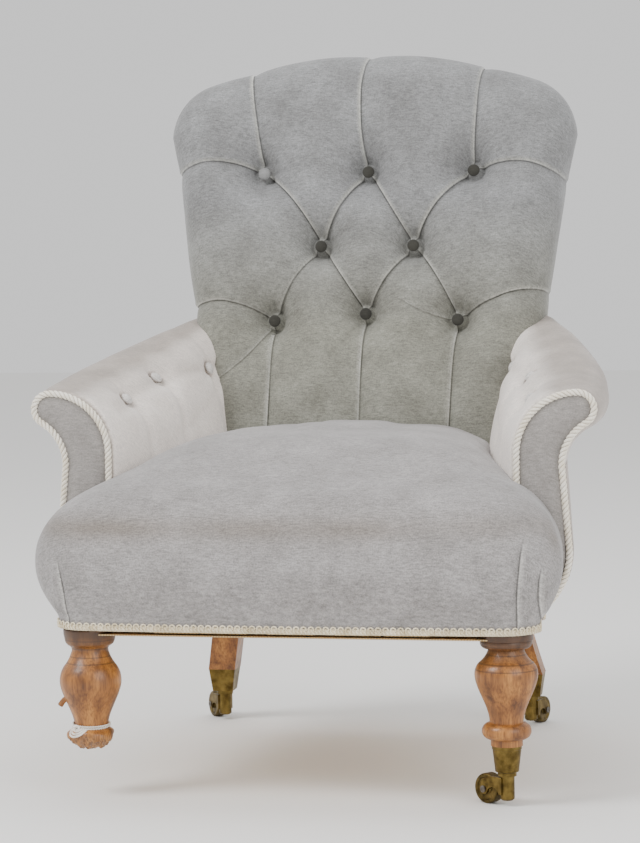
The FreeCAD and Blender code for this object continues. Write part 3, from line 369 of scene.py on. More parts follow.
def velvet(name, face, shade, painted_highlight_and_pale_cloth, weave=1.0, painted_low_tint="#FFFFFF"):
    """Cotton velvet: soft and matt, with a faint cross-wise slub, painted highlight and shadow along its
    folds and painted light and shade over broad areas.
    """
    material, tree, shader = new_material(name, Roughness=0.92, Sheen_Weight=0.32, Sheen_Roughness=0.42)
    shader.inputs["Sheen Tint"].default_value = linear("#EFEFF2")
    shader.inputs["Specular IOR Level"].default_value = 0.2
    where = own_place(tree)
    # Brushed pile lies in patches about 45 mm across
    patch = blotches(tree, where, 0.045, 4.0, Roughness=0.6)
    cloth = ramp(tree, patch, [(0.3, shade), (0.7, face)])
    # Painted light and sheen: the cloth low on the back is tinted yellower
    low = between(tree, height_of(tree, where), 0.66, 0.50)
    cloth = mix(tree, low, cloth, linear(painted_low_tint), "MULTIPLY")
    # Slub threads run across, 1.3 mm apart, drawn coarser than the real 0.6 mm so that they show
    tilted = add(tree, "Mapping", {"Vector": where, "Rotation": (radians(45), 0, 0)})
    slub = drawn_out(tree, tilted.outputs["Vector"], (0.007, 0.007, 0.0013), 3.0)
    # Pile tufts 1.6 mm across
    pile = blotches(tree, where, 0.0016)
    grain = maths(tree, "MULTIPLY", maths(tree, "ADD", pile, slub), 0.5)
    tone = ramp(tree, grain, [(0.34, "#A6A6A5"), (0.66, "#FFFFFF")])
    # Folds: a painted highlight 3 mm wide on the side that laps over, beside a painted shadow line 1.5 mm
    # wide
    strength = attribute(tree, "fold_weight")
    across = between(tree, attribute(tree, "fold"), -8.0, 8.0)
    edge = ramp(tree, across, [(0.53, "#000000"), (0.585, "#F4F4F4"), (0.67, "#A4A4A4"), (0.86, "#000000")])
    line = ramp(tree, across, [(0.20, "#000000"), (0.42, "#6C6C6C"), (0.49, "#FFFFFF"), (0.555, "#000000")])
    cloth = mix(tree, maths(tree, "MULTIPLY", edge, strength), cloth, linear(painted_highlight_and_pale_cloth))
    cloth = mix(tree, maths(tree, "MULTIPLY", line, strength), cloth, linear("#45443E"))
    # Painted light and shade over broad areas, and the real paler cloth of one button: paler above nought,
    # painted shade below it
    nap = attribute(tree, "nap")
    cloth = mix(tree, maths(tree, "MAXIMUM", nap, 0.0), cloth, linear(painted_highlight_and_pale_cloth))
    sink = maths(tree, "MULTIPLY", nap, -1.0, use_clamp=True)
    cloth = mix(tree, sink, cloth, linear("#5B5A53"))
    # Rubbed brown where the pile has gone on the seat; the same brown is painted shade on the arm rolls
    cloth = mix(tree, attribute(tree, "wear"), cloth, linear("#8E857C"))
    cloth = mix(tree, 0.8 * weave, cloth, tone, "MULTIPLY")
    surface(tree, shader, cloth, grain, 0.3, 0.0007)
    return material


def corded(name, pale, deep):
    """Spun cotton and silk cord: dull cream, with painted shade in the grooves between its threads."""
    material, tree, shader = new_material(name, Roughness=0.75, Sheen_Weight=0.2)
    shader.inputs["Specular IOR Level"].default_value = 0.3
    where = own_place(tree)
    # Fibres 0.9 mm across, and uneven dye over about 12 mm
    fibre = blotches(tree, where, 0.0009)
    dye = blotches(tree, where, 0.012)
    both = maths(tree, "MULTIPLY", maths(tree, "ADD", fibre, dye), 0.5)
    colour = ramp(tree, both, [(0.35, deep), (0.62, pale)])
    # Painted shade in the grooves between strands
    colour = mix(tree, attribute(tree, "groove"), colour, linear("#6E6149"))
    surface(tree, shader, colour, fibre, 0.4, 0.0003)
    return material


def waxed_walnut(name, pale, mid, dark, rings=()):
    """Turned walnut under old wax: long grain up the leg, caramel on the bulb, with painted shade under the
    seat.
    """
    material, tree, shader = new_material(name, Roughness=0.4, Coat_Weight=0.16, Coat_Roughness=0.16)
    where = own_place(tree)
    # Grain bands 13 mm wide and 100 mm long, pores 1.6 mm wide
    bands = drawn_out(tree, where, (0.013, 0.013, 0.1), 4.0)
    pores = drawn_out(tree, where, (0.0016, 0.0016, 0.024), 2.0)
    wood = ramp(tree, bands, [(0.28, dark), (0.5, mid), (0.7, pale)])
    pore_tone = ramp(tree, pores, [(0.32, "#94806C"), (0.58, "#FFFFFF")])
    wood = mix(tree, 0.6, wood, pore_tone, "MULTIPLY")
    # Painted shade on the cap under the seat, about 20 mm deep
    height = height_of(tree, where)
    wood = mix(tree, between(tree, height, 0.156, 0.180, 0.0, 0.9), wood, linear("#3E2816"))
    # Dark lines where the turner's tool cut
    for level in rings:
        cut = maths(tree, "COMPARE", height, level * MM, TURNED_LINE_WIDTH / 2 * MM)
        wood = mix(tree, maths(tree, "MULTIPLY", cut, 0.55), wood, linear("#3A2413"))
    # Bare broken wood, marked on the stump by its own attribute
    torn = ramp(tree, pores, [(0.38, "#5E3D20"), (0.6, "#AB7944")])
    wood = mix(tree, attribute(tree, "raw"), wood, torn)
    # Dirt and knocks in spots of about 16 mm, with less polish on them
    grime = blotches(tree, where, 0.016, 5.0)
    dirt = ramp(tree, grime, [(0.30, "#7A6452"), (0.42, "#FFFFFF")])
    wood = mix(tree, 0.6, wood, dirt, "MULTIPLY")
    tree.links.new(between(tree, grime, 0.0, 1.0, 0.6, 0.28), shader.inputs["Roughness"])
    surface(tree, shader, wood, pores, 0.15, 0.0005)
    return material


def bare_timber(name, pale, dark):
    """Sawn beech of the hidden frame: pale, with short flecks."""
    material, tree, shader = new_material(name, Roughness=0.8)
    # Flecks about 6 mm across
    flecks = blotches(tree, own_place(tree), 0.006, 5.0, Distortion=1.0)
    tree.links.new(ramp(tree, flecks, [(0.3, dark), (0.7, pale)]), shader.inputs["Base Color"])
    return material


def tarnished_brass(name, bright, tarnish, roughness):
    """Cast brass that has gone olive brown, rubbed brighter in patches."""
    material, tree, shader = new_material(name, Metallic=1.0, Roughness=roughness)
    where = own_place(tree)
    # Tarnish lies in blotches about 9 mm across, and the cast skin is rough at 1.8 mm
    blotch = blotches(tree, where, 0.009, 5.0)
    cast = blotches(tree, where, 0.0018)
    dull = between(tree, blotch, 0.0, 1.0, roughness + 0.2, roughness - 0.1)
    tree.links.new(dull, shader.inputs["Roughness"])
    surface(tree, shader, ramp(tree, blotch, [(0.30, tarnish), (0.74, bright)]), cast, 0.1, 0.0004)
    return material


def plain_woven(name, pale, dark, thread):
    """Plain woven jute or calico: square weave, darker between its threads."""
    material, tree, shader = new_material(name, Roughness=0.95)
    inputs = {"Vector": own_place(tree), "Scale": 1 / thread / (2 * pi), "Distortion": 0.6}
    across = add(tree, "TexWave", inputs, bands_direction="X").outputs["Fac"]
    along = add(tree, "TexWave", inputs, bands_direction="Y").outputs["Fac"]
    weave = maths(tree, "MULTIPLY", across, along)
    surface(tree, shader, ramp(tree, weave, [(0.0, dark), (0.6, pale)]), weave, 0.3, 0.0008)
    return material


def drawn_steel(name):
    """Drawn steel wire and rod, gone dull with age."""
    material, tree, shader = new_material(name, Metallic=1.0, Roughness=0.5)
    # Rust bloom in spots about 5 mm across
    bloom = blotches(tree, own_place(tree), 0.005, 4.0)
    colour = ramp(tree, bloom, [(0.35, "#4A3E35"), (0.6, "#7C7975")])
    tree.links.new(colour, shader.inputs["Base Color"])
    return material


WALNUT_TONES = ("#BE813C", "#9A622A", "#603713")
# Copies of one velvet: the different shades of back, seat, arms and facings are painted sheen and light
back_velvet = velvet("velvet_back", "#A2A3A4", "#8A8A8A", "#EDECE3", painted_low_tint="#FFFDEA")
seat_velvet = velvet("velvet_seat", "#B6B2B1", "#A09C9A", "#E6E3DE")
arm_velvet = velvet("velvet_arm", "#CABFB6", "#B3A89E", "#FFF6EE", 0.6)
facing_velvet = velvet("velvet_facing", "#ACA7A3", "#97928E", "#C0BCB6", 0.75)
# The arm buttons are painted pale, like the painted light inside the arms
arm_button_velvet = velvet("velvet_arm_button", "#F2EEEA", "#E4DFDA", "#FFFFFF")
button_velvet = velvet("velvet_button", "#474640", "#373632", "#9F9F9F", 0.4)
rope_cord = corded("cord_cream", "#FFFAEF", "#EADEC6")
braid_cord = corded("braid_cream", "#F6EACF", "#C9B995")
white_string = corded("string_white", "#F6F2EB", "#CFC6BA")
walnut = waxed_walnut("walnut_waxed", *WALNUT_TONES)
turned_walnut = waxed_walnut("walnut_turned", *WALNUT_TONES, rings=TURNED_LINES)
beech = bare_timber("beech_sawn", "#C9A67A", "#A98257")
brass = tarnished_brass("brass_tarnished", "#88733F", "#4E3F21", 0.4)
worn_brass = tarnished_brass("brass_worn", "#7E6B3F", "#382F1B", 0.38)
jute = plain_woven("jute_woven", "#B59A6C", "#7A6340", 0.0022)
calico = plain_woven("calico_tan", "#DDC295", "#B4925F", 0.0016)
steel = drawn_steel("steel_drawn")

# Looks of the CAD nodes that stay, by the starts of their names
BEECH_PARTS = ("seat_rail_", "corner_blocks", "back_crest_rail", "back_stay_rail", "arm_stump_", "arm_rail_",
               "arm_tacking_rail_")
NODE_LOOKS = [
    (walnut, ("rear_leg_",)),
    (beech, BEECH_PARTS),
    (brass, ("castor_cup_", "castor_horn_")),
    (worn_brass, ("castor_wheel_",)),
    (steel, ("castor_axle_", "seat_springs")),
    (jute, ("seat_canvas", "seat_webbing", "back_canvas", "back_webbing")),
    (white_string, ("button_threads",)),
    (arm_button_velvet, ("arm_buttons_",)),
]
for look, starts in NODE_LOOKS:
    for node_name, node_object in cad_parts.items():
        if node_name.startswith(starts):
            node_object.data.materials.clear()
            node_object.data.materials.append(look)


# Lines in a plane


def arc(centre, radius, angles):
    return np.stack([centre[0] + radius * np.cos(angles), centre[1] + radius * np.sin(angles)], axis=1)


def arc_line(a, b, c, count):
    """Places along the arc from a through b to c."""
    ax, ay = a
    bx, by = b
    cx, cy = c
    d = 2 * (ax * (by - cy) + bx * (cy - ay) + cx * (ay - by))
    aa, bb, cc = ax**2 + ay**2, bx**2 + by**2, cx**2 + cy**2
    ux = (aa * (by - cy) + bb * (cy - ay) + cc * (ay - by)) / d
    uy = (aa * (cx - bx) + bb * (ax - cx) + cc * (bx - ax)) / d
    turn = np.unwrap([atan2(y - uy, x - ux) for x, y in (a, b, c)])
    return arc((ux, uy), hypot(ax - ux, ay - uy), np.linspace(turn[0], turn[2], count))


def bow(a, b, out, count=14):
    """Curve from a to b that stands off its chord by out, to the left of the way it runs."""
    a = np.array(a, float)
    b = np.array(b, float)
    chord = b - a
    off = np.array([-chord[1], chord[0]]) / np.linalg.norm(chord) * out * 2
    t = np.linspace(0, 1, count)[:, None]
    return a * (1 - t) ** 2 + (a + chord / 2 + off) * 2 * t * (1 - t) + b * t ** 2


def near(points, line):
    """Distance to a line, side of it (+ is left of the way it runs) and its way there, for many points."""
    best = np.full(len(points), 1e9)
    side = np.zeros(len(points))
    heading = np.zeros((len(points), 2))
    for a, b in zip(line, line[1:]):
        d = (b - a) / np.linalg.norm(b - a)
        t = np.clip((points - a) @ d, 0, np.linalg.norm(b - a))
        gap = points - (a + t[:, None] * d)
        dist = norms(gap)
        closer = dist < best
        best = np.where(closer, dist, best)
        side = np.where(closer, np.sign(d[0] * gap[:, 1] - d[1] * gap[:, 0]), side)
        heading = np.where(closer[:, None], d, heading)
    return best, side, heading


# Shared lines of the back


def back_outline(base, inset=0.0):
    """Right half of the outline of the back from its base up to the middle of the crest."""
    wide = np.array([BACK_WIDE, BACK_WIDE_AT])
    side = arc_line((BACK_BASE, RAIL_BOTTOM - RAIL_TOP), (BACK_WAIST, BACK_WAIST_AT), wide, 120)
    foot = np.array([[np.interp(base, side[:, 1], side[:, 0]), base]])
    side = np.concatenate([foot, side[side[:, 1] > base + 1]])
    shoulder = np.array([SHOULDER_X, SHOULDER_AT])
    middle = wide + (shoulder - wide) * np.array([0.30, 0.62])
    corner = arc_line(wide, middle, shoulder, 30)
    crown = arc_line(shoulder, (0.0, BACK_HEIGHT), (-SHOULDER_X, SHOULDER_AT), 81)[:41]
    line = np.concatenate([side, corner[1:], crown[1:]])
    sides = ease(0, 60, BACK_HEIGHT - line[:, 1]) * ease(-40, 60, line[:, 1])
    top = ease(420, 560, line[:, 1])
    return line - inset * np.stack([sides, top], axis=1)


def whole_outline(right):
    """Both halves of an outline, from the right half."""
    return np.concatenate([right, (right * MIRROR)[::-1][1:]])


def on_back(across, behind, up):
    """Places in metres on the raked back: across, behind the front of the posts, up the rake."""
    across, behind, up = np.broadcast_arrays(across, behind, up)
    y = BACK_Y + behind * cos(BACK_RAKE) + up * sin(BACK_RAKE)
    z = RAIL_TOP + up * cos(BACK_RAKE) - behind * sin(BACK_RAKE)
    return np.stack([across, y, z], axis=-1) * MM


def fill_outline(points, outline, base):
    """Spread a square grid (-1 to 1) over the outline, closer together near its edge."""
    crowd = 1.1
    u = np.sin(points[:, 0] * crowd) / sin(crowd)
    v = np.sin((points[:, 1] + 1) / 2 * crowd) / sin(crowd)
    tall = BACK_HEIGHT - base
    x = u * BACK_WIDE
    h = v * tall
    angle = np.arctan2(h, np.abs(x))
    to_side = BACK_WIDE / np.maximum(np.cos(angle), 1e-9)
    to_top = tall / np.maximum(np.sin(angle), 1e-9)
    square = np.minimum(to_side, to_top)
    rim_angle = np.arctan2(outline[:, 1] - base, outline[:, 0])
    rim = np.interp(angle, rim_angle, np.hypot(outline[:, 0], outline[:, 1] - base))
    share = np.hypot(x, h) / square * rim
    return np.stack([np.sign(x) * share * np.cos(angle), base + share * np.sin(angle)], axis=1)


def back_buttons():
    top = [(-ROW_TOP_X, ROW_TOP), (0.0, ROW_TOP), (ROW_TOP_X, ROW_TOP)]
    middle = [(-ROW_MIDDLE_X, ROW_MIDDLE), (ROW_MIDDLE_X, ROW_MIDDLE)]
    low = [(-ROW_LOW_X, ROW_LOW), (0.0, ROW_LOW + LOW_MIDDLE_RISE), (ROW_LOW_X, ROW_LOW)]
    return top, middle, low


def back_pleats():
    """Folds between the buttons and out to the edges, with their depth and the side that laps over."""
    top, middle, low = back_buttons()
    over_crest = BACK_HEIGHT + 10
    under_seat = 30.0
    return [
        (bow(top[0], middle[0], 9), 1.0, 1),
        (bow(top[1], middle[0], -3), 0.9, -1),
        (bow(top[1], middle[1], 2), 0.9, 1),
        (bow(top[2], middle[1], -7), 0.9, -1),
        (bow(middle[0], low[0], -3), 0.8, -1),
        (bow(middle[0], low[1], 2), 0.9, 1),
        (bow(middle[1], low[1], -2), 0.9, -1),
        (bow(middle[1], low[2], 6), 0.9, 1),
        (bow(top[0], (-158.0, over_crest), -4), 0.9, 1),
        (bow(top[1], (0.0, over_crest), 7), 1.0, 1),
        (bow(top[2], (146.0, over_crest), 0), 0.9, 1),
        (bow(top[0], (-BACK_WIDE - 8, ROW_TOP - 8), -17), 0.9, -1),
        (bow(top[2], (BACK_WIDE + 8, ROW_TOP - 22), 17), 0.9, 1),
        (bow(low[0], (-BACK_WAIST - 14, ROW_LOW + 14), -16), 1.0, -1),
        (bow(low[2], (BACK_WAIST + 14, ROW_LOW + 36), 10), 0.9, 1),
        (bow(low[0], (-ROW_LOW_X - 4, under_seat), 2), 0.9, -1),
        (bow(low[1], (-2.0, under_seat), 0), 0.9, -1),
        (bow(low[2], (ROW_LOW_X - 8, under_seat), 0), 0.9, -1),
        (bow(low[0], (-196.0, 160.0), 12), 0.45, -1),
        (bow(low[2], (50.0, 262.0), 5), 0.4, -1),
    ]


def tufted(flat):
    """Depth of the buttoned surface behind its plain shape, with painted shade in the pits and painted
    highlight and shadow along the folds.
    """
    depth, fold, fold_weight = np.zeros((3, len(flat)))
    closest = np.full(len(flat), 1e9)
    buttons = [spot for row in back_buttons() for spot in row]
    gaps = np.stack([norms(flat - np.array(spot)) for spot in buttons])
    nearest = gaps.min(axis=0)
    clear = ease(7, 14, nearest)
    # Small puckers round each button
    for k, spot in enumerate(buttons):
        angle = np.arctan2(flat[:, 1] - spot[1], flat[:, 0] - spot[0])
        ridges = np.cos(9 * angle + k) + 0.8 * np.cos(13 * angle + 2.3 * k) + 0.6 * np.cos(21 * angle - k)
        depth += 1.1 * ridges * np.exp(-gaps[k] / 28) * ease(8, 18, gaps[k])
    # Pits, steep by the button with a shallow fall over 60 mm round it
    depth += (BUTTON_SINK - 8) * np.exp(-np.maximum(nearest - 7, 0) / 17) + 8 * np.exp(-nearest / 60)
    # Painted shade in the pit round each button, 13 mm wide
    nap = -0.5 * bump(nearest, 13)
    # Lapped folds, steep on the side that laps over
    for line, weight, lap in back_pleats():
        dist, side, _ = near(flat, line)
        off = dist * side * lap
        deep = weight * (3.6 + 7.0 * np.exp(-nearest / 34)) * clear
        depth += deep * np.where(off > 0, np.exp(-dist / 2.0), np.exp(-dist / 8.0))
        depth += weight * 5.0 * np.exp(-dist / 26)
        depth -= 1.3 * weight * bump(off - 4.0, 2.6) * clear
        nearer = dist < closest
        closest = np.where(nearer, dist, closest)
        fold = np.where(nearer, np.clip(off, -12, 12), fold)
        # How much painted highlight and shadow shows along this fold
        shown = weight * (1 - ease(7, 11, dist)) * ease(6, 9, nearest)
        fold_weight = np.where(nearer, shown, fold_weight)
    seat = 1 - ease(8, 13, nearest)
    depth = depth * (1 - seat) + (BUTTON_SINK + 0.6) * seat
    patchy = 0.8 + 0.45 * flat_waves(flat, 7.0, 55.0, 6.0)
    return depth, nap, fold, fold_weight * np.clip(patchy, 0.35, 1)


# Stuffed back


def wrap_posts(bm, rim, start, base):
    """Carry the cover on from its rim, round the posts and into the pocket behind the pad."""
    # Rows of the wrap: how far in from the outline, how far behind the front of the posts
    rows = [
        (1.0, POST_DEPTH * 0.15),
        (4.0, POST_DEPTH * 0.6),
        (8.0, POST_DEPTH),
        (BACK_WRAP, POST_DEPTH),
        (BACK_WRAP, POCKET),
    ]

    def spot_of(vert):
        return tuple(np.round(np.array(vert.co), 7))

    roots = {v: v for v in start}
    edges = rim
    for inset, behind in rows:
        made = bmesh.ops.extrude_edge_only(bm, edges=edges)["geom"]
        edges = [g for g in made if isinstance(g, bmesh.types.BMEdge)]
        known = {spot_of(v): root for v, root in roots.items()}
        roots = {v: known[spot_of(v)] for v in made if isinstance(v, bmesh.types.BMVert)}
        for vert, root in roots.items():
            spot, outward = start[root]
            here = spot - outward * inset
            vert.co = on_back(here[0], behind, max(here[1], base))
    bmesh.ops.holes_fill(bm, edges=[e for e in bm.edges if e.is_boundary], sides=0)


def stuffed_back():
    """Buttoned back: one surface of pillows, pits and lapped folds, rolled over at its outline."""
    base = 1.0
    right = back_outline(base)
    bm = bmesh.new()
    bmesh.ops.create_grid(bm, x_segments=264, y_segments=340, size=1.0)
    flat = fill_outline(coordinates(bm), right, base)
    edge, _, heading = near(flat, whole_outline(right))
    outward = np.stack([heading[:, 1], -heading[:, 0]], axis=1)
    share = np.clip(1 - edge / BACK_ROLL, 0, 1)
    level = np.sqrt(1 - share ** 2)
    front = BACK_PAD + BACK_WIDEST
    lean = share / BACK_ROLL
    face = np.maximum(level, 0.02) / front
    size = np.hypot(lean, face)
    depth, nap, fold, fold_weight = tufted(flat)
    depth += 1.2 * flat_waves(flat, 0.0, 70.0, 3.0)
    depth *= ease(-6, 30, edge) * 0.35 + 0.65
    shift = outward * (depth * lean / size)[:, None]
    behind = BACK_WIDEST - front * level + depth * face / size
    place(bm, on_back(flat[:, 0] - shift[:, 0], behind, flat[:, 1] - shift[:, 1]))
    rim = [e for e in bm.edges if e.is_boundary and max(flat[v.index][1] for v in e.verts) > base + 0.01]
    start = {v: (flat[v.index] - shift[v.index] * 0.5, outward[v.index]) for e in rim for v in e.verts}
    wrap_posts(bm, rim, start, base)
    face_out(bm)
    wrapped = np.zeros(len(bm.verts) - len(flat))
    obj = piece("back_cushion", bm, back_velvet, "back_pad")
    for name, values in (("nap", nap), ("fold", fold), ("fold_weight", fold_weight)):
        set_attribute(obj, name, np.concatenate([values, wrapped]))


def back_cover():
    """Outside back: one stretched panel, bellied a little between the posts."""
    base = -70.0
    right = back_outline(base, 8.0)
    bm = bmesh.new()
    bmesh.ops.create_grid(bm, x_segments=80, y_segments=100, size=1.0)
    flat = fill_outline(coordinates(bm), right, base)
    edge = near(flat, whole_outline(right))[0]
    edge = np.minimum(edge, np.maximum(flat[:, 1] - base, 0))
    belly = 3.0 + 2.5 * ease(0, 110, edge) + 0.7 * flat_waves(flat, 1.0, 90.0, 5.0)
    belly *= ease(-2, 7, edge)
    place(bm, on_back(flat[:, 0], POST_DEPTH + 0.4 + belly, flat[:, 1]))
    face_out(bm)
    if sum(f.normal.y for f in bm.faces) < 0:
        bmesh.ops.reverse_faces(bm, faces=bm.faces)
    bmesh.ops.solidify(bm, geom=bm.faces[:], thickness=0.0004)
    obj = piece("back_outside_cover", bm, back_velvet, "back_outside")


def covered_buttons():
    """Eight covered buttons; the first of the top row has kept the colour of the cloth."""
    bm = cad_copy("back_buttons")
    first = on_back(-ROW_TOP_X, BUTTON_SINK - BACK_PAD, ROW_TOP)
    tone = 0.8 * (norms(coordinates(bm) - first) < BUTTON_DIA * MM)
    obj = piece("covered_buttons", bm, button_velvet, "back_buttons")
    set_attribute(obj, "nap", tone)


# Seat and arms


def seat_plug(bm):
    """Block under the seat, a millimetre inside its hem, so that the rebuilt skin has no inside."""
    hem = braid_routes()[0]
    front = hem[np.abs(hem[:, 0]) < ARM_INNER + 36] * 0.996
    y = np.linspace(ARM_FRONT_Y, 105.0, 8)
    inner = np.interp(y, [ARM_FRONT_Y, 40.0, 237.0], [ARM_INNER, 188.0, 176.0]) - 6
    right = np.stack([inner, y], axis=1)[::-1]
    outline = np.concatenate([right, front, right[::-1] * MIRROR]) * MM
    floor = bm.faces.new([bm.verts.new((x, y, (RAIL_BOTTOM + 4) * MM)) for x, y in outline])
    made = bmesh.ops.extrude_face_region(bm, geom=[floor])["geom"]
    lifted = [g for g in made if isinstance(g, bmesh.types.BMVert)]
    bmesh.ops.translate(bm, vec=(0, 0, 0.105), verts=lifted)
    face_out(bm)


def seat_pleats(points, normals):
    """Lift of the corner pleats in metres, millimetres off the nearest, and how much painted highlight and
    shadow shows there.
    """
    x, y, z = points.T
    outer = ease(0.1, 0.5, -normals[:, 1]) + ease(0.3, 0.7, np.abs(normals[:, 0]))
    outer = np.clip(outer, 0, 1) * ease(-0.22, -0.26, y)
    lift, fold, fold_weight = np.zeros((3, len(points)))
    # One pleat at the left corner and two at the right: side, shift outward, lower and upper end
    for sense, shift, low, high in ((-1, 0.0, 0.19, 0.275), (1, 0.0, 0.19, 0.298), (1, 0.022, 0.203, 0.272)):
        across = sense * x - (0.245 + shift + 0.10 * (z - 0.19))
        run = ease(low - 0.02, low, z) * (1 - ease(high - 0.03, high, z)) * outer
        deep = 0.004 * ease(0.203, 0.235, z)
        lift += run * (0.0012 * bump(across - 0.005, 0.005) - deep * bump(across, 0.0032))
        there = (np.abs(across) < 0.012) & (run > 0.02)
        fold = np.where(there, across / MM, fold)
        fold_weight = np.where(there, 0.8 * run * (1 - ease(0.007, 0.011, np.abs(across))), fold_weight)
    return lift, fold, fold_weight


def seat_wear(points):
    """Brown band along the front edge, and a rubbed spot at the right corner."""
    band = bump(points[:, 2] - 0.302, 0.013) * ease(-0.2, -0.27, points[:, 1])
    wear = 0.85 * band * np.clip(0.65 + 0.9 * waves(points, 0.11, 4.0), 0, 1)
    rubbed = norms(points - np.array([0.280, -0.262, 0.288]))
    return np.maximum(wear, 0.75 * bump(rubbed, 0.017))


def seat_cushion():
    """Domed seat: the CAD form in even quads, blown up as cloth, then pleated at its front corners."""
    bm = cad_copy("seat_pad")
    seat_plug(bm)
    bm = remeshed(bm, SEAT_QUAD)
    plain = coordinates(bm)
    smooth(bm, 8)
    skirt = 1 - ease(0.20, 0.225, plain[:, 2])
    points = coordinates(bm) * (1 - skirt)[:, None] + plain * skirt[:, None]
    place(bm, points)
    x, y, z = points.T
    arm_side = ease(0.18, 0.22, np.abs(x)) * ease(-0.21, -0.18, y)
    free = ease(0.21, 0.27, z) * (1 - ease(0.02, 0.12, y)) * (1 - arm_side)
    plump(bm, cap=0.004, pressure=3.0, held=1 - free)
    normals = normals_of(bm)
    points = coordinates(bm)
    lift, fold, fold_weight = seat_pleats(points, normals)
    lift += 0.0008 * waves(points, 0.08, 9.0)
    moved = points + normals * lift[:, None]
    # The sides tuck back under the arm fronts
    x, y, z = points.T
    tuck = ease(-0.190, -0.176, y) * ease(0.235, 0.25, np.abs(x)) * (1 - ease(0.29, 0.31, z))
    moved[:, 1] += 0.008 * tuck
    place(bm, moved)
    # Faces under the hem and inside the arms never show
    hidden = []
    for f in bm.faces:
        middle = f.calc_center_median()
        if (middle.z < 0.197 and f.normal.z < -0.6) or (middle.z < 0.262 and middle.y > -0.165):
            hidden.append(f)
    looks = {"wear": seat_wear(points), "fold": fold, "fold_weight": fold_weight}
    for name, values in looks.items():
        layer = bm.verts.layers.float.new(name)
        for vert, value in zip(bm.verts, values):
            vert[layer] = value
    bmesh.ops.delete(bm, geom=hidden, context="FACES")
    face_out(bm)
    bmesh.ops.solidify(bm, geom=bm.faces[:], thickness=0.0025)
    face_out(bm)
    obj = piece("seat_cushion", bm, seat_velvet, "seat_pad")


def arm_button_spots(side):
    """Middles of the three arm buttons, from the separate shells of their node."""
    bm = cad_copy("arm_buttons_" + side)
    left = set(bm.verts)
    spots = []
    while left:
        shell = {left.pop()}
        front = set(shell)
        while front:
            front = {e.other_vert(v) for v in front for e in v.link_edges} - shell
            shell |= front
        left -= shell
        spots.append(sum((v.co for v in shell), Vector()) / len(shell))
    bm.free()
    return sorted((tuple(s) for s in spots), key=lambda s: s[1])


def arm_cushion(side):
    """Scrolled arm: the CAD form made soft and drawn in at three buttons, creased between and below."""
    sense = SENSE[side]
    bm = remeshed(cad_copy("arm_pad_" + side), ARM_QUAD)
    smooth(bm, 5)
    points = coordinates(bm)
    normals = normals_of(bm)
    inside = ease(0.25, 0.6, -sense * normals[:, 0])
    lift = 0.0009 * waves(points, 0.05, 2.0 * sense)
    spots = arm_button_spots(side)
    path = np.array(spots)[:, 1:]
    ends = [path[:1] + [[-0.05, -0.012]], path, path[-1:] + [[0.05, 0.0]]]
    dist = near(points[:, 1:], np.concatenate(ends))[0]
    lift -= inside * 0.0030 * bump(dist, 0.007)
    # Where painted shade goes along the creases
    creases = 0.6 * bump(dist, 0.006)
    nearest = np.full(len(points), 1.0)
    for spot in spots:
        r = norms(points - np.array(spot))
        nearest = np.minimum(nearest, r)
        lift -= 0.0040 * bump(r, 0.022)
        hang = np.array([spot[1:], (spot[1] - 0.010, spot[2] - 0.11)])
        drop = near(points[:, 1:], hang)[0]
        lift -= inside * 0.0030 * bump(drop, 0.009)
        creases += 0.5 * bump(drop, 0.006)
        angle = np.arctan2(points[:, 2] - spot[2], points[:, 1] - spot[1])
        drag = np.cos(6 * angle + 9 * spot[1]) + 0.6 * np.cos(10 * angle)
        lift += inside * 0.0014 * drag * np.exp(-r / 0.034) * ease(0.009, 0.02, r)
    lift += inside * 0.0032 * ease(0.012, 0.045, nearest)
    place(bm, points + normals * lift[:, None])
    obj = piece("arm_cushion_" + side, bm, arm_velvet, "arm_pad_" + side)
    # Painted light and sheen: pale inside, paler low down, and paler over all the right arm but its outer
    # roll, as it faces the light; painted shade in the creases; browner painted shade on the top and outer
    # side of each roll
    low = ease(0.50, 0.36, points[:, 2])
    turned_out = np.maximum(normals[:, 2], 0) + 1.5 * np.maximum(sense * normals[:, 0], 0)
    outer = ease(0.55, 1.0, turned_out) * ease(0.36, 0.44, points[:, 2])
    patches = 0.22 * waves(points, 0.045, 5.0 + sense)
    nap = 0.35 * (sense + 1) * (1 - outer) + inside * (0.2 * low + 0.75) + patches
    set_attribute(obj, "nap", np.clip(nap, 0, 1) - 0.3 * inside * np.clip(creases, 0, 1))
    set_attribute(obj, "wear", outer * (0.33 + 0.2 * waves(points, 0.03, 3.0)))


def arm_outside_cover(side):
    """Outside arm: a thin cover cut into small faces and let swell a little off the plain CAD panel."""
    node = "arm_outside_" + side
    bm = cad_copy(node)
    grid_cut(bm, 0.012)
    normals = normals_of(bm)
    points = coordinates(bm)
    lift = 0.0006 * waves(points, 0.06, 7.0)
    place(bm, points + normals * lift[:, None])
    sharpen(bm, 50)
    obj = piece("arm_outside_cover_" + side, bm, arm_velvet, node)


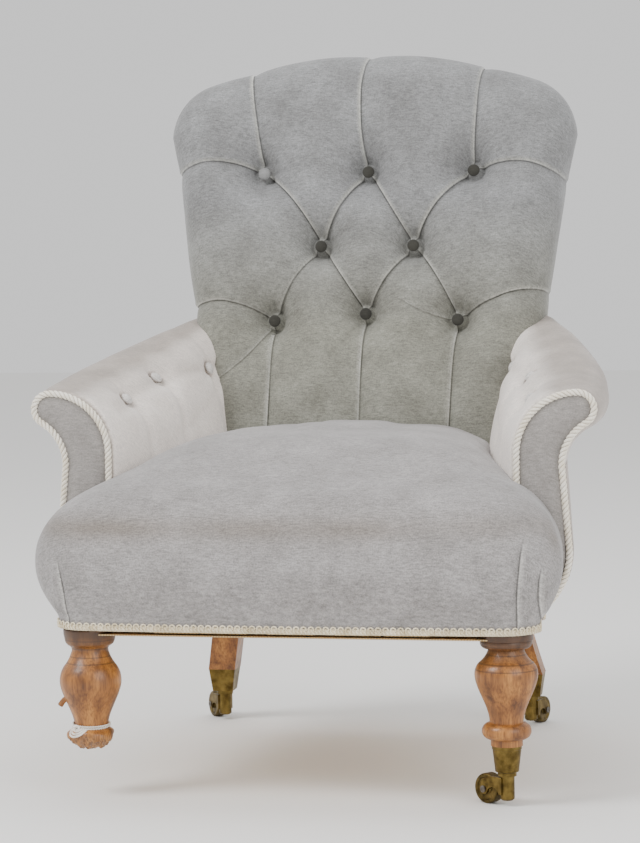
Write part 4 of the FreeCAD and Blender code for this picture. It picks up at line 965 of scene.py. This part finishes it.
def arm_front(side):
    """Padded scroll facing, crowned between its two runs of rope."""
    sense = SENSE[side]
    bm = remeshed(cad_copy("arm_facing_" + side), FACING_QUAD)
    smooth(bm, 2)
    points = coordinates(bm)
    # The facing runs on down behind the seat, inside the rope
    points[:, 2] -= 0.060 * ease(0.010, 0.0, points[:, 2] - points[:, 2].min())
    route = scroll_route()
    fall = route[-22:][::-1]
    limit = np.interp(points[:, 2] / MM, fall[:, 1], fall[:, 0], right=1e3)
    points[:, 0] = sense * np.minimum(sense * points[:, 0], limit * MM)
    place(bm, points)
    normals = normals_of(bm)
    rim = 1 - ease(0.5, 0.85, np.abs(normals[:, 1]))
    flat = np.stack([sense * points[:, 0], points[:, 2]], axis=1) / MM
    dist = near(flat, route)[0]
    shift = normals * np.array([1, 0, 1]) * (rim * np.clip(dist - 1.5, 0, 9) * MM)[:, None]
    forward = ease(0.2, 0.7, -normals[:, 1])
    shift[:, 1] -= forward * 0.0042 * ease(2, 18, dist)
    place(bm, points + shift)
    obj = piece("arm_front_" + side, bm, facing_velvet, "arm_facing_" + side)
    # Painted shade on the front of the facing, just inside the rope
    set_attribute(obj, "nap", -0.35 * forward * bump(dist - 4, 3.0))


# Cords


def lengths_along(line):
    return np.concatenate([[0], np.cumsum(norms(np.diff(line, axis=0)))])


def directions(line):
    tangents = np.gradient(line, axis=0)
    return tangents / norms(tangents)[:, None]


def resample(line, step):
    """The line again, with its points an even step apart."""
    lengths = lengths_along(line)
    marks = np.linspace(0, lengths[-1], max(int(lengths[-1] / step), 2))
    return np.stack([np.interp(marks, lengths, line[:, k]) for k in range(line.shape[1])], axis=1)


def carried(line):
    """Two ways square to the line at each of its points, carried along it without a twist."""
    tangents = directions(line)
    normal = Vector(tangents[0]).orthogonal().normalized()
    ways = []
    for tangent in tangents:
        tangent = Vector(tangent)
        normal = (normal - tangent * normal.dot(tangent)).normalized()
        ways.append((normal, tangent.cross(normal)))
    return ways


def tube(bm, rings):
    """Skin over rings of vertices, closed at both ends."""
    loops = [[bm.edges.new((ring[k - 1], ring[k])) for k in range(len(ring))] for ring in rings]
    for first, second in zip(loops, loops[1:]):
        bmesh.ops.bridge_loops(bm, edges=first + second)
    for end in (loops[0], loops[-1]):
        bmesh.ops.edgeloop_fill(bm, edges=end)


def strand(bm, line, radius, sides):
    """Sweep a round strand along a line."""
    rings = []
    for spot, (normal, other) in zip(line, carried(line)):
        ring = []
        for k in range(sides):
            a = 2 * pi * k / sides
            ring.append(bm.verts.new(Vector(spot) + (normal * cos(a) + other * sin(a)) * radius))
        rings.append(ring)
    tube(bm, rings)


def twisted(route, radius, lay, strands, sides):
    """Strands laid round a route as a twisted rope."""
    bm = bmesh.new()
    route = resample(route, lay / 10)
    lengths = lengths_along(route)
    ways = [(np.array(normal), np.array(other)) for normal, other in carried(route)]
    thick = radius * 0.5
    for k in range(strands):
        turn = 2 * pi * (lengths / lay + k / strands)
        line = []
        for spot, (normal, other), a in zip(route, ways, turn):
            line.append(spot + (normal * cos(a) + other * sin(a)) * (radius - thick))
        strand(bm, np.array(line), thick, sides)
    face_out(bm)
    return bm


# Trimming


def scroll_route():
    """Middle of the rope on the right arm: x and z from beside the seat, over the scroll, to the hem."""
    inset = ROPE_DIA / 2
    sweep = SCROLL_X - ARM_INNER
    centre_z = SCROLL_Z + SCROLL_R - sweep
    lip = np.array([cos(TUCK_ANGLE), -sin(TUCK_ANGLE)])
    tuck = (SCROLL_X + SCROLL_R * lip[0] - WAIST_X) / (1 - lip[0])
    hollow = np.array([SCROLL_X, SCROLL_Z]) + lip * (SCROLL_R + tuck)
    big = np.linspace(pi, pi / 2, 24)
    small = np.linspace(pi / 2, -TUCK_ANGLE, 22)
    under = np.linspace(pi - TUCK_ANGLE, pi, 14)
    parts = [np.array([[ARM_INNER + inset, z] for z in np.linspace(RAIL_TOP + 16, centre_z, 12)[:-1]])]
    parts.append(arc((SCROLL_X, centre_z), sweep - inset, big))
    parts.append(arc((SCROLL_X, SCROLL_Z), SCROLL_R - inset, small)[1:])
    parts.append(arc(hollow, tuck + inset, under)[1:])
    waist = parts[-1][-1]
    belly = np.array([waist[0] + ARM_BELLY, RAIL_TOP])
    reach = belly[0] - (ARM_BASE_FRONT - inset)
    drop = belly[1] - (GIMP_FOOT + GIMP_HEIGHT + 1)
    radius = (reach ** 2 + drop ** 2) / (2 * reach)
    fall = np.linspace(0, asin(drop / radius), 12)
    parts.append(np.linspace(waist, belly, 10)[1:])
    parts.append(arc((belly[0] - radius, belly[1]), radius, -fall)[1:])
    return np.concatenate(parts)


def rope(side):
    """Three-strand rope round the facing, with painted shade in its grooves."""
    route = scroll_route()
    y = np.full(len(route), ARM_FRONT_Y - ROPE_DIA / 2)
    line = np.stack([SENSE[side] * route[:, 0], y, route[:, 1]], axis=1) * MM
    bm = twisted(line, ROPE_DIA / 2 * MM, ROPE_LAY * MM, 3, 8)
    count = len(line) * 8
    middle = KDTree(count)
    for index, spot in enumerate(resample(line, lengths_along(line)[-1] / count)):
        middle.insert(spot, index)
    middle.balance()
    reach = np.array([middle.find(v.co)[2] for v in bm.verts]) / (ROPE_DIA / 2 * MM)
    obj = piece("rope_" + side, bm, rope_cord, "arm_rope_" + side)
    set_attribute(obj, "groove", 0.9 * (1 - ease(0.55, 0.9, reach)))


def braid_routes():
    """Bottom edge of the covers: round the seat front, along each side and across the back."""
    front_y = SEAT_FRONT + SEAT_SETBACK
    turn_y = front_y + SEAT_CORNER
    end_y = ARM_FRONT_Y - ROPE_DIA - 0.5
    end_x = SEAT_BASE - SIDE_TAPER * (end_y - turn_y)
    half = SEAT_BASE - SEAT_CORNER
    corner = arc((half, turn_y), SEAT_CORNER, np.linspace(0, -pi / 2, 12))
    bowed = arc_line((half, front_y), (0.0, front_y - 6.0), (-half, front_y), 41)[1:21]
    right = np.concatenate([np.array([[end_x, end_y]]), corner, bowed])
    front = np.concatenate([right, (right * MIRROR)[::-1]])
    rear_y = BACK_Y + POST_DEPTH - 14.0
    rear_x = ARM_BASE_FRONT + (ARM_BASE_REAR - ARM_BASE_FRONT) * (rear_y - ARM_FRONT_Y) / ARM_LENGTH
    side = np.array([[rear_x, rear_y], [ARM_BASE_FRONT, ARM_FRONT_Y + 1.0]])
    back = np.array([-(BACK_BASE - 6.0), BACK_BASE - 6.0])
    return front, side, back


def motif(bm, origin, along, out, up, pitch):
    """One repeat of the braid, in millimetres: a raised loop over two slanting cords on a flat band."""
    def at(a, o, u):
        return origin + along * (a * MM) + out * (o * MM) + up * (u * MM)

    loop_r = pitch * 0.36
    loop = []
    for t in np.linspace(-0.6, pi + 0.6, 7):
        loop.append(at(loop_r * cos(t), 1.9, 5.9 + loop_r * 0.95 * sin(t)))
    strand(bm, np.array(loop), 0.95 * MM, 5)
    for shift in (-0.25, 0.25):
        slant = [at(pitch * (shift - 0.16), 1.7, 0.7), at(pitch * (shift + 0.16), 1.9, 4.6)]
        strand(bm, np.array(slant), 1.0 * MM, 5)


def braid():
    """Gimp braid with a scalloped upper edge, a repeat about every 8 mm."""
    bm = bmesh.new()
    front, side, back = braid_routes()
    # Corners of the flat band under the cords: outward and up
    band = ((0.3, 0.2), (1.3, 0.2), (1.3, 6.6), (0.3, 6.6))
    runs = []
    for line in (front, side, (side * MIRROR)[::-1]):
        runs.append((np.column_stack([line, np.full(len(line), GIMP_FOOT)]) * MM, np.array([0, 0, 1.0])))
    rear = on_back(back, POST_DEPTH + COVER + 0.4, RAIL_BOTTOM - RAIL_TOP + 8.0)
    runs.append((rear, np.array([0, sin(BACK_RAKE), cos(BACK_RAKE)])))
    for line, rise in runs:
        length = lengths_along(line)[-1]
        count = int(length / (BRAID_PITCH * MM))
        fine = resample(line, length / (2 * count + 0.5))
        tangents = directions(fine)
        outs = np.cross(rise, tangents)
        for k in range(1, len(fine) - 1, 2):
            motif(bm, fine[k], tangents[k], outs[k], rise, length / count / MM)
        rings = []
        for spot, out in zip(fine, outs):
            rings.append([bm.verts.new(spot + out * (o * MM) + rise * (u * MM)) for o, u in band])
        tube(bm, rings)
    face_out(bm)
    piece("gimp", bm, braid_cord, "gimp_braid")


# Front legs, the string on the broken one, and the dust cloth


def head_drawn_in(points, x):
    """Pull the square head of a front leg in from the covers that hide it."""
    middle = np.array([x, FRONT_LEG_Y]) * MM
    share = (1 - 0.25 * ease(0.1875, 0.1895, points[:, 2]))[:, None]
    points[:, :2] = middle + (points[:, :2] - middle) * share
    return points


def whole_leg():
    """Right front leg, as in the CAD but for its hidden head."""
    bm = cad_copy("front_leg_right")
    place(bm, head_drawn_in(coordinates(bm), FRONT_LEG_X))
    sharpen(bm, 40)
    piece("front_leg_whole", bm, turned_walnut, "front_leg_right")


def broken_leg():
    """Left front leg, started 15 mm out of its socket, with a splintered foot and a peg end in its side."""
    bm = remeshed(cad_copy("front_leg_left"), LEG_QUAD)
    smooth(bm, 2)
    normals = normals_of(bm)
    points = coordinates(bm)
    below = ease(0.089, 0.083, points[:, 2])
    end = ease(0.3, 0.8, -normals[:, 2]) * below
    fibres = np.array([noise.noise(Vector((p[0] * 260, p[1] * 260, p[2] * 25))) for p in points])
    chips = np.array([noise.noise(Vector(p) * 75) for p in points])
    shift = normals * (below * (0.0016 * fibres + 0.0022 * chips))[:, None]
    shift[:, 2] += end * 0.007 * fibres
    shift[:, 2] -= LEG_DROP * MM * ease(0.187, 0.140, points[:, 2])
    place(bm, head_drawn_in(points + shift, -FRONT_LEG_X))
    raw = 0.85 * below * np.clip(0.55 + 0.9 * fibres + 0.4 * end, 0, 1)
    peg = []
    for s in np.linspace(0, 2, 5):
        peg.append((-FRONT_LEG_X - 24.0 - 4.5 * s, FRONT_LEG_Y - 8.0, ANKLE_Z + 18.0 - 2.0 * s * s))
    strand(bm, np.array(peg) * MM, 0.0032, 10)
    face_out(bm)
    raw = np.concatenate([raw, np.zeros(len(bm.verts) - len(raw))])
    obj = piece("front_leg_broken", bm, turned_walnut, "front_leg_left")
    set_attribute(obj, "raw", raw)


def string():
    """Two turns of string round the ankle, then three slack loops over the stump and a knot in front."""
    middle = np.array([-FRONT_LEG_X, FRONT_LEG_Y, ANKLE_Z - LEG_DROP])
    thick = STRING_DIA / 2 * MM
    # Way the knot faces, in radians
    knot_way = 4.15

    def round_ankle(a, r, z):
        return middle + np.array([r * cos(a), r * sin(a), z])

    turns = []
    for k in range(81):
        a = 2 * pi * k / 40 + 3.6
        r = ANKLE_R + 1.9 + 0.25 * sin(a * 3.1)
        turns.append(round_ankle(a, r, 1.0 + 2.2 * k / 40 + 0.5 * sin(a * 2)))
    bm = twisted(np.array(turns) * MM, thick, STRING_LAY * MM, 2, 5)
    for drop, spread in ((3.0, 0.30), (5.5, 0.46), (8.0, 0.58)):
        loop = []
        for s in np.linspace(-1, 1, 21):
            fall = drop * (1 - s * s)
            loop.append(round_ankle(knot_way + spread * s, ANKLE_R + 2.2 + 0.9 * fall, 1.0 - fall))
        strand(bm, np.array(loop) * MM, thick, 7)
    heart = round_ankle(knot_way, ANKLE_R + 3.5, 1.5)
    knot = []
    for a in np.linspace(0, 2 * pi, 25):
        rise = 2.4 * sin(2 * a) + sin(a)
        knot.append(heart + np.array([3.2 * cos(2 * a), 1.3 * cos(3 * a), rise]))
    strand(bm, np.array(knot) * MM, thick, 7)
    face_out(bm)
    piece("string_wrap", bm, white_string, "string_tie")


def under_cloth():
    """Dust cloth tacked under the rails, drawn up a little in the middle."""
    bm = cad_copy("bottom_cloth")
    grid_cut(bm, 0.025, "xy")
    points = coordinates(bm)
    low, high = points.min(axis=0), points.max(axis=0)
    share = (points - low) / (high - low)
    rise = np.sin(pi * share[:, 0]) * np.sin(pi * share[:, 1])
    points[:, 2] += 0.003 * rise ** 1.5
    place(bm, points)
    sharpen(bm, 50)
    obj = piece("dust_cloth", bm, calico, "bottom_cloth")


# Stage, lights and camera


def studio():
    """White paper floor, an even sky and three soft lamps: name, place, size and power in watts."""
    floor_bm = bmesh.new()
    bmesh.ops.create_grid(floor_bm, x_segments=1, y_segments=1, size=9.0)
    floor = mesh_object("floor", floor_bm)
    floor_bm.free()
    material, _, shader = new_material("paper_white", Roughness=0.95)
    shader.inputs["Base Color"].default_value = linear("#F4F3F1")
    floor.data.materials.append(material)
    world = bpy.data.worlds.new("studio")
    bpy.context.scene.world = world
    world.use_nodes = True
    sky = world.node_tree.nodes["Background"]
    sky.inputs["Color"].default_value = linear("#FFFFFF")
    sky.inputs["Strength"].default_value = 0.92
    lamps = [
        ("key", (-2.3, -1.9, 3.0), 1.5, 100.0),
        ("fill", (2.6, -2.4, 1.8), 2.4, 62.0),
        ("top", (0.0, 0.6, 3.2), 2.0, 27.0),
    ]
    for name, spot, size, power in lamps:
        data = bpy.data.lights.new(name, "AREA")
        data.size = size
        data.energy = power
        lamp = put(name, data)
        aim = Vector((0, 0, 0.45)) - Vector(spot)
        lamp.matrix_world = Matrix.Translation(spot) @ aim.to_track_quat("-Z", "Y").to_matrix().to_4x4()


def photo_camera():
    """Long lens about 11 degrees round to the right and 4 degrees down, level to within a degree."""
    focal = 2835.0
    height = 843.0
    sensor = 36.0
    yaw, pitch, roll = 0.196529, 0.067176, 0.0139626
    spot = Vector((0.62756, -3.2574, 0.620))
    ahead = Vector((-sin(yaw) * cos(pitch), cos(yaw) * cos(pitch), -sin(pitch)))
    right = Vector((cos(yaw), sin(yaw), 0))
    down = ahead.cross(right)
    across = right * cos(roll) + down * sin(roll)
    over = right * sin(roll) - down * cos(roll)
    data = bpy.data.cameras.new("photo")
    data.sensor_fit = "VERTICAL"
    data.sensor_height = sensor
    data.lens = focal / height * sensor
    camera = put("photo", data)
    turn = Matrix((across, over, -ahead)).transposed().to_4x4()
    camera.matrix_world = Matrix.Translation(spot) @ turn
    bpy.context.scene.camera = camera


stuffed_back()
covered_buttons()
back_cover()
seat_cushion()
for side in SENSE:
    arm_cushion(side)
    arm_front(side)
    arm_outside_cover(side)
    rope(side)
braid()
whole_leg()
broken_leg()
string()
under_cloth()
studio()
photo_camera()
